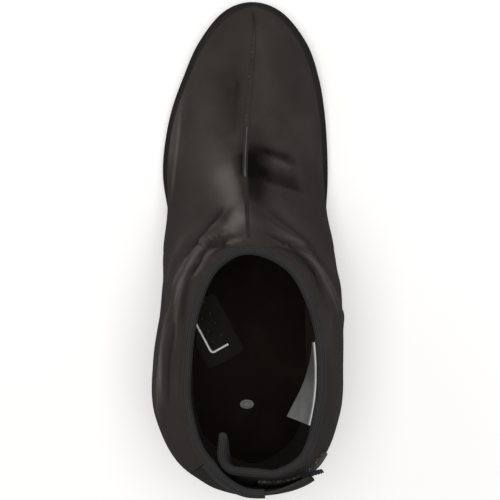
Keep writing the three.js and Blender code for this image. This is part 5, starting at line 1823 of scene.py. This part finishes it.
@dataclass
class HeelPlug:
    """The pale oval button in the sole's heel."""

    length: float = 8
    width: float = 5
    height: float = 1.6
    rim: float = 1.2

    def build(self) -> bpy.types.Object:
        """Makes the button: a head with a shallow dish, on a stem through the sole."""
        centre = np.array([LAST.ball_width * LAST.plug_side, LAST.length * (LAST.plug_along - 0.5), 0])
        top = float(LAST.sole_top(centre[1])) + LAST.gap
        bottom = float(LAST.sole_bottom(centre[1]))
        head = ((0, 0.55), (0.5, 0.55), (0.62, 0.75), (0.7, 1.0), (0.86, 1.0), (0.97, 0.85), (1.0, 0.6), (1.0, 0.05),
                (0.93, 0.0))
        stem = ((1.0, top - 0.02), (1.0, bottom + 0.2), (0.92, bottom), (0.0, bottom))
        half = np.array([self.length, self.width]) / 2
        rows = [oval(*(half + self.rim / 2) * share, top + self.height * rise, 48) for share, rise in head]
        rows += [oval(*(half - LAST.gap) * share, z, 48) for share, z in stem]
        piece = grid_piece("visual_heel_plug", centre + np.stack(rows, 1), closed_columns=True)
        face_outwards(piece)
        dress(piece, Finish.PLUG, degrees=40)
        return place_piece(piece, "plug", "heel_plug")


@dataclass
class Studio:
    """The pale floor, the soft lights and the camera straight above."""

    camera_height: float = 1.3
    lens: float = 143.2
    ahead: float = -0.008

    @staticmethod
    def floor() -> None:
        """Makes a plain pale floor, a hair below the tread."""
        clear_selection()
        bpy.ops.mesh.primitive_plane_add(size=6, location=(0, 0, -0.0004))
        floor = bpy.context.object
        floor.name = "studio_floor"
        shader = Shader("studio_white")
        shader.set(Base_Color=(0.86, 0.86, 0.86), Roughness=0.9, Specular_IOR_Level=0.1,
                   Emission_Color=(1.0, 1.0, 1.0), Emission_Strength=0.28)
        floor.data.materials.append(shader.material)
        floor.visible_glossy = False

    @staticmethod
    def light(name: str, place: tuple[float, float, float], aim: tuple[float, float, float],
              size: tuple[float, float], power: float, colour: Colour) -> None:
        """One soft rectangular light.

        Args:
            name: Its name.
            place: Where it stands, in metres.
            aim: What it looks at.
            size: Its width and height.
            power: Its power in watts.
            colour: Its colour.
        """
        lamp = bpy.data.lights.new(name, "AREA")
        lamp.shape, lamp.size, lamp.size_y, lamp.energy, lamp.color = "RECTANGLE", *size, power, colour
        holder = bpy.data.objects.new(name, lamp)
        bpy.context.scene.collection.objects.link(holder)
        holder.location = place
        holder.rotation_euler = (Vector(aim) - Vector(place)).to_track_quat("-Z", "Y").to_euler()

    def build(self) -> None:
        """Sets up the camera, the world, the floor and the lights."""
        scene = bpy.context.scene
        view = bpy.data.cameras.new("camera")
        view.sensor_width, view.lens = 36, self.lens
        view.clip_start, view.clip_end = 0.05, 20
        camera = bpy.data.objects.new("camera", view)
        camera.location = (SHIFT[0] * MM, SHIFT[1] * MM + self.ahead, self.camera_height)
        scene.collection.objects.link(camera)
        scene.camera = camera
        scene.view_settings.view_transform = "Standard"
        world = bpy.data.worlds.new("studio")
        world.use_nodes = True
        backdrop = world.node_tree.nodes["Background"]
        backdrop.inputs["Color"].default_value = (1.0, 1.0, 1.0, 1.0)
        backdrop.inputs["Strength"].default_value = 0.06
        scene.world = world
        self.floor()
        self.light("overhead", (0, 0, 2.1), (0, 0, 0.05), (1.3, 1.3), 34, (1.0, 0.985, 0.97))
        self.light("key_left", (-1.1, 0.5, 1.1), (0, 0, 0.05), (1.0, 1.2), 4, (1.0, 0.95, 0.9))
        self.light("fill_right", (1.2, 0.3, 0.9), (0, 0, 0.05), (0.9, 1.2), 2, (0.95, 0.97, 1.0))
        self.light("back", (0.1, 1.5, 0.9), (0, 0, 0.05), (1.2, 0.8), 2, (1.0, 0.99, 0.97))


def main() -> None:
    """Builds the studio and the overshoe, in order."""
    Studio().build()
    upper = Upper()
    upper.build()
    seam = RaisedSeam()
    seam.instep(upper)
    seam.heel()
    Sole().build()
    Binding().build()
    Closure().build()
    CareLabel().build()
    SolePatch().build()
    HeelPlug().build()


if __name__ == "__main__":
    logging.basicConfig(level=logging.INFO, format="%(message)s")
    main()
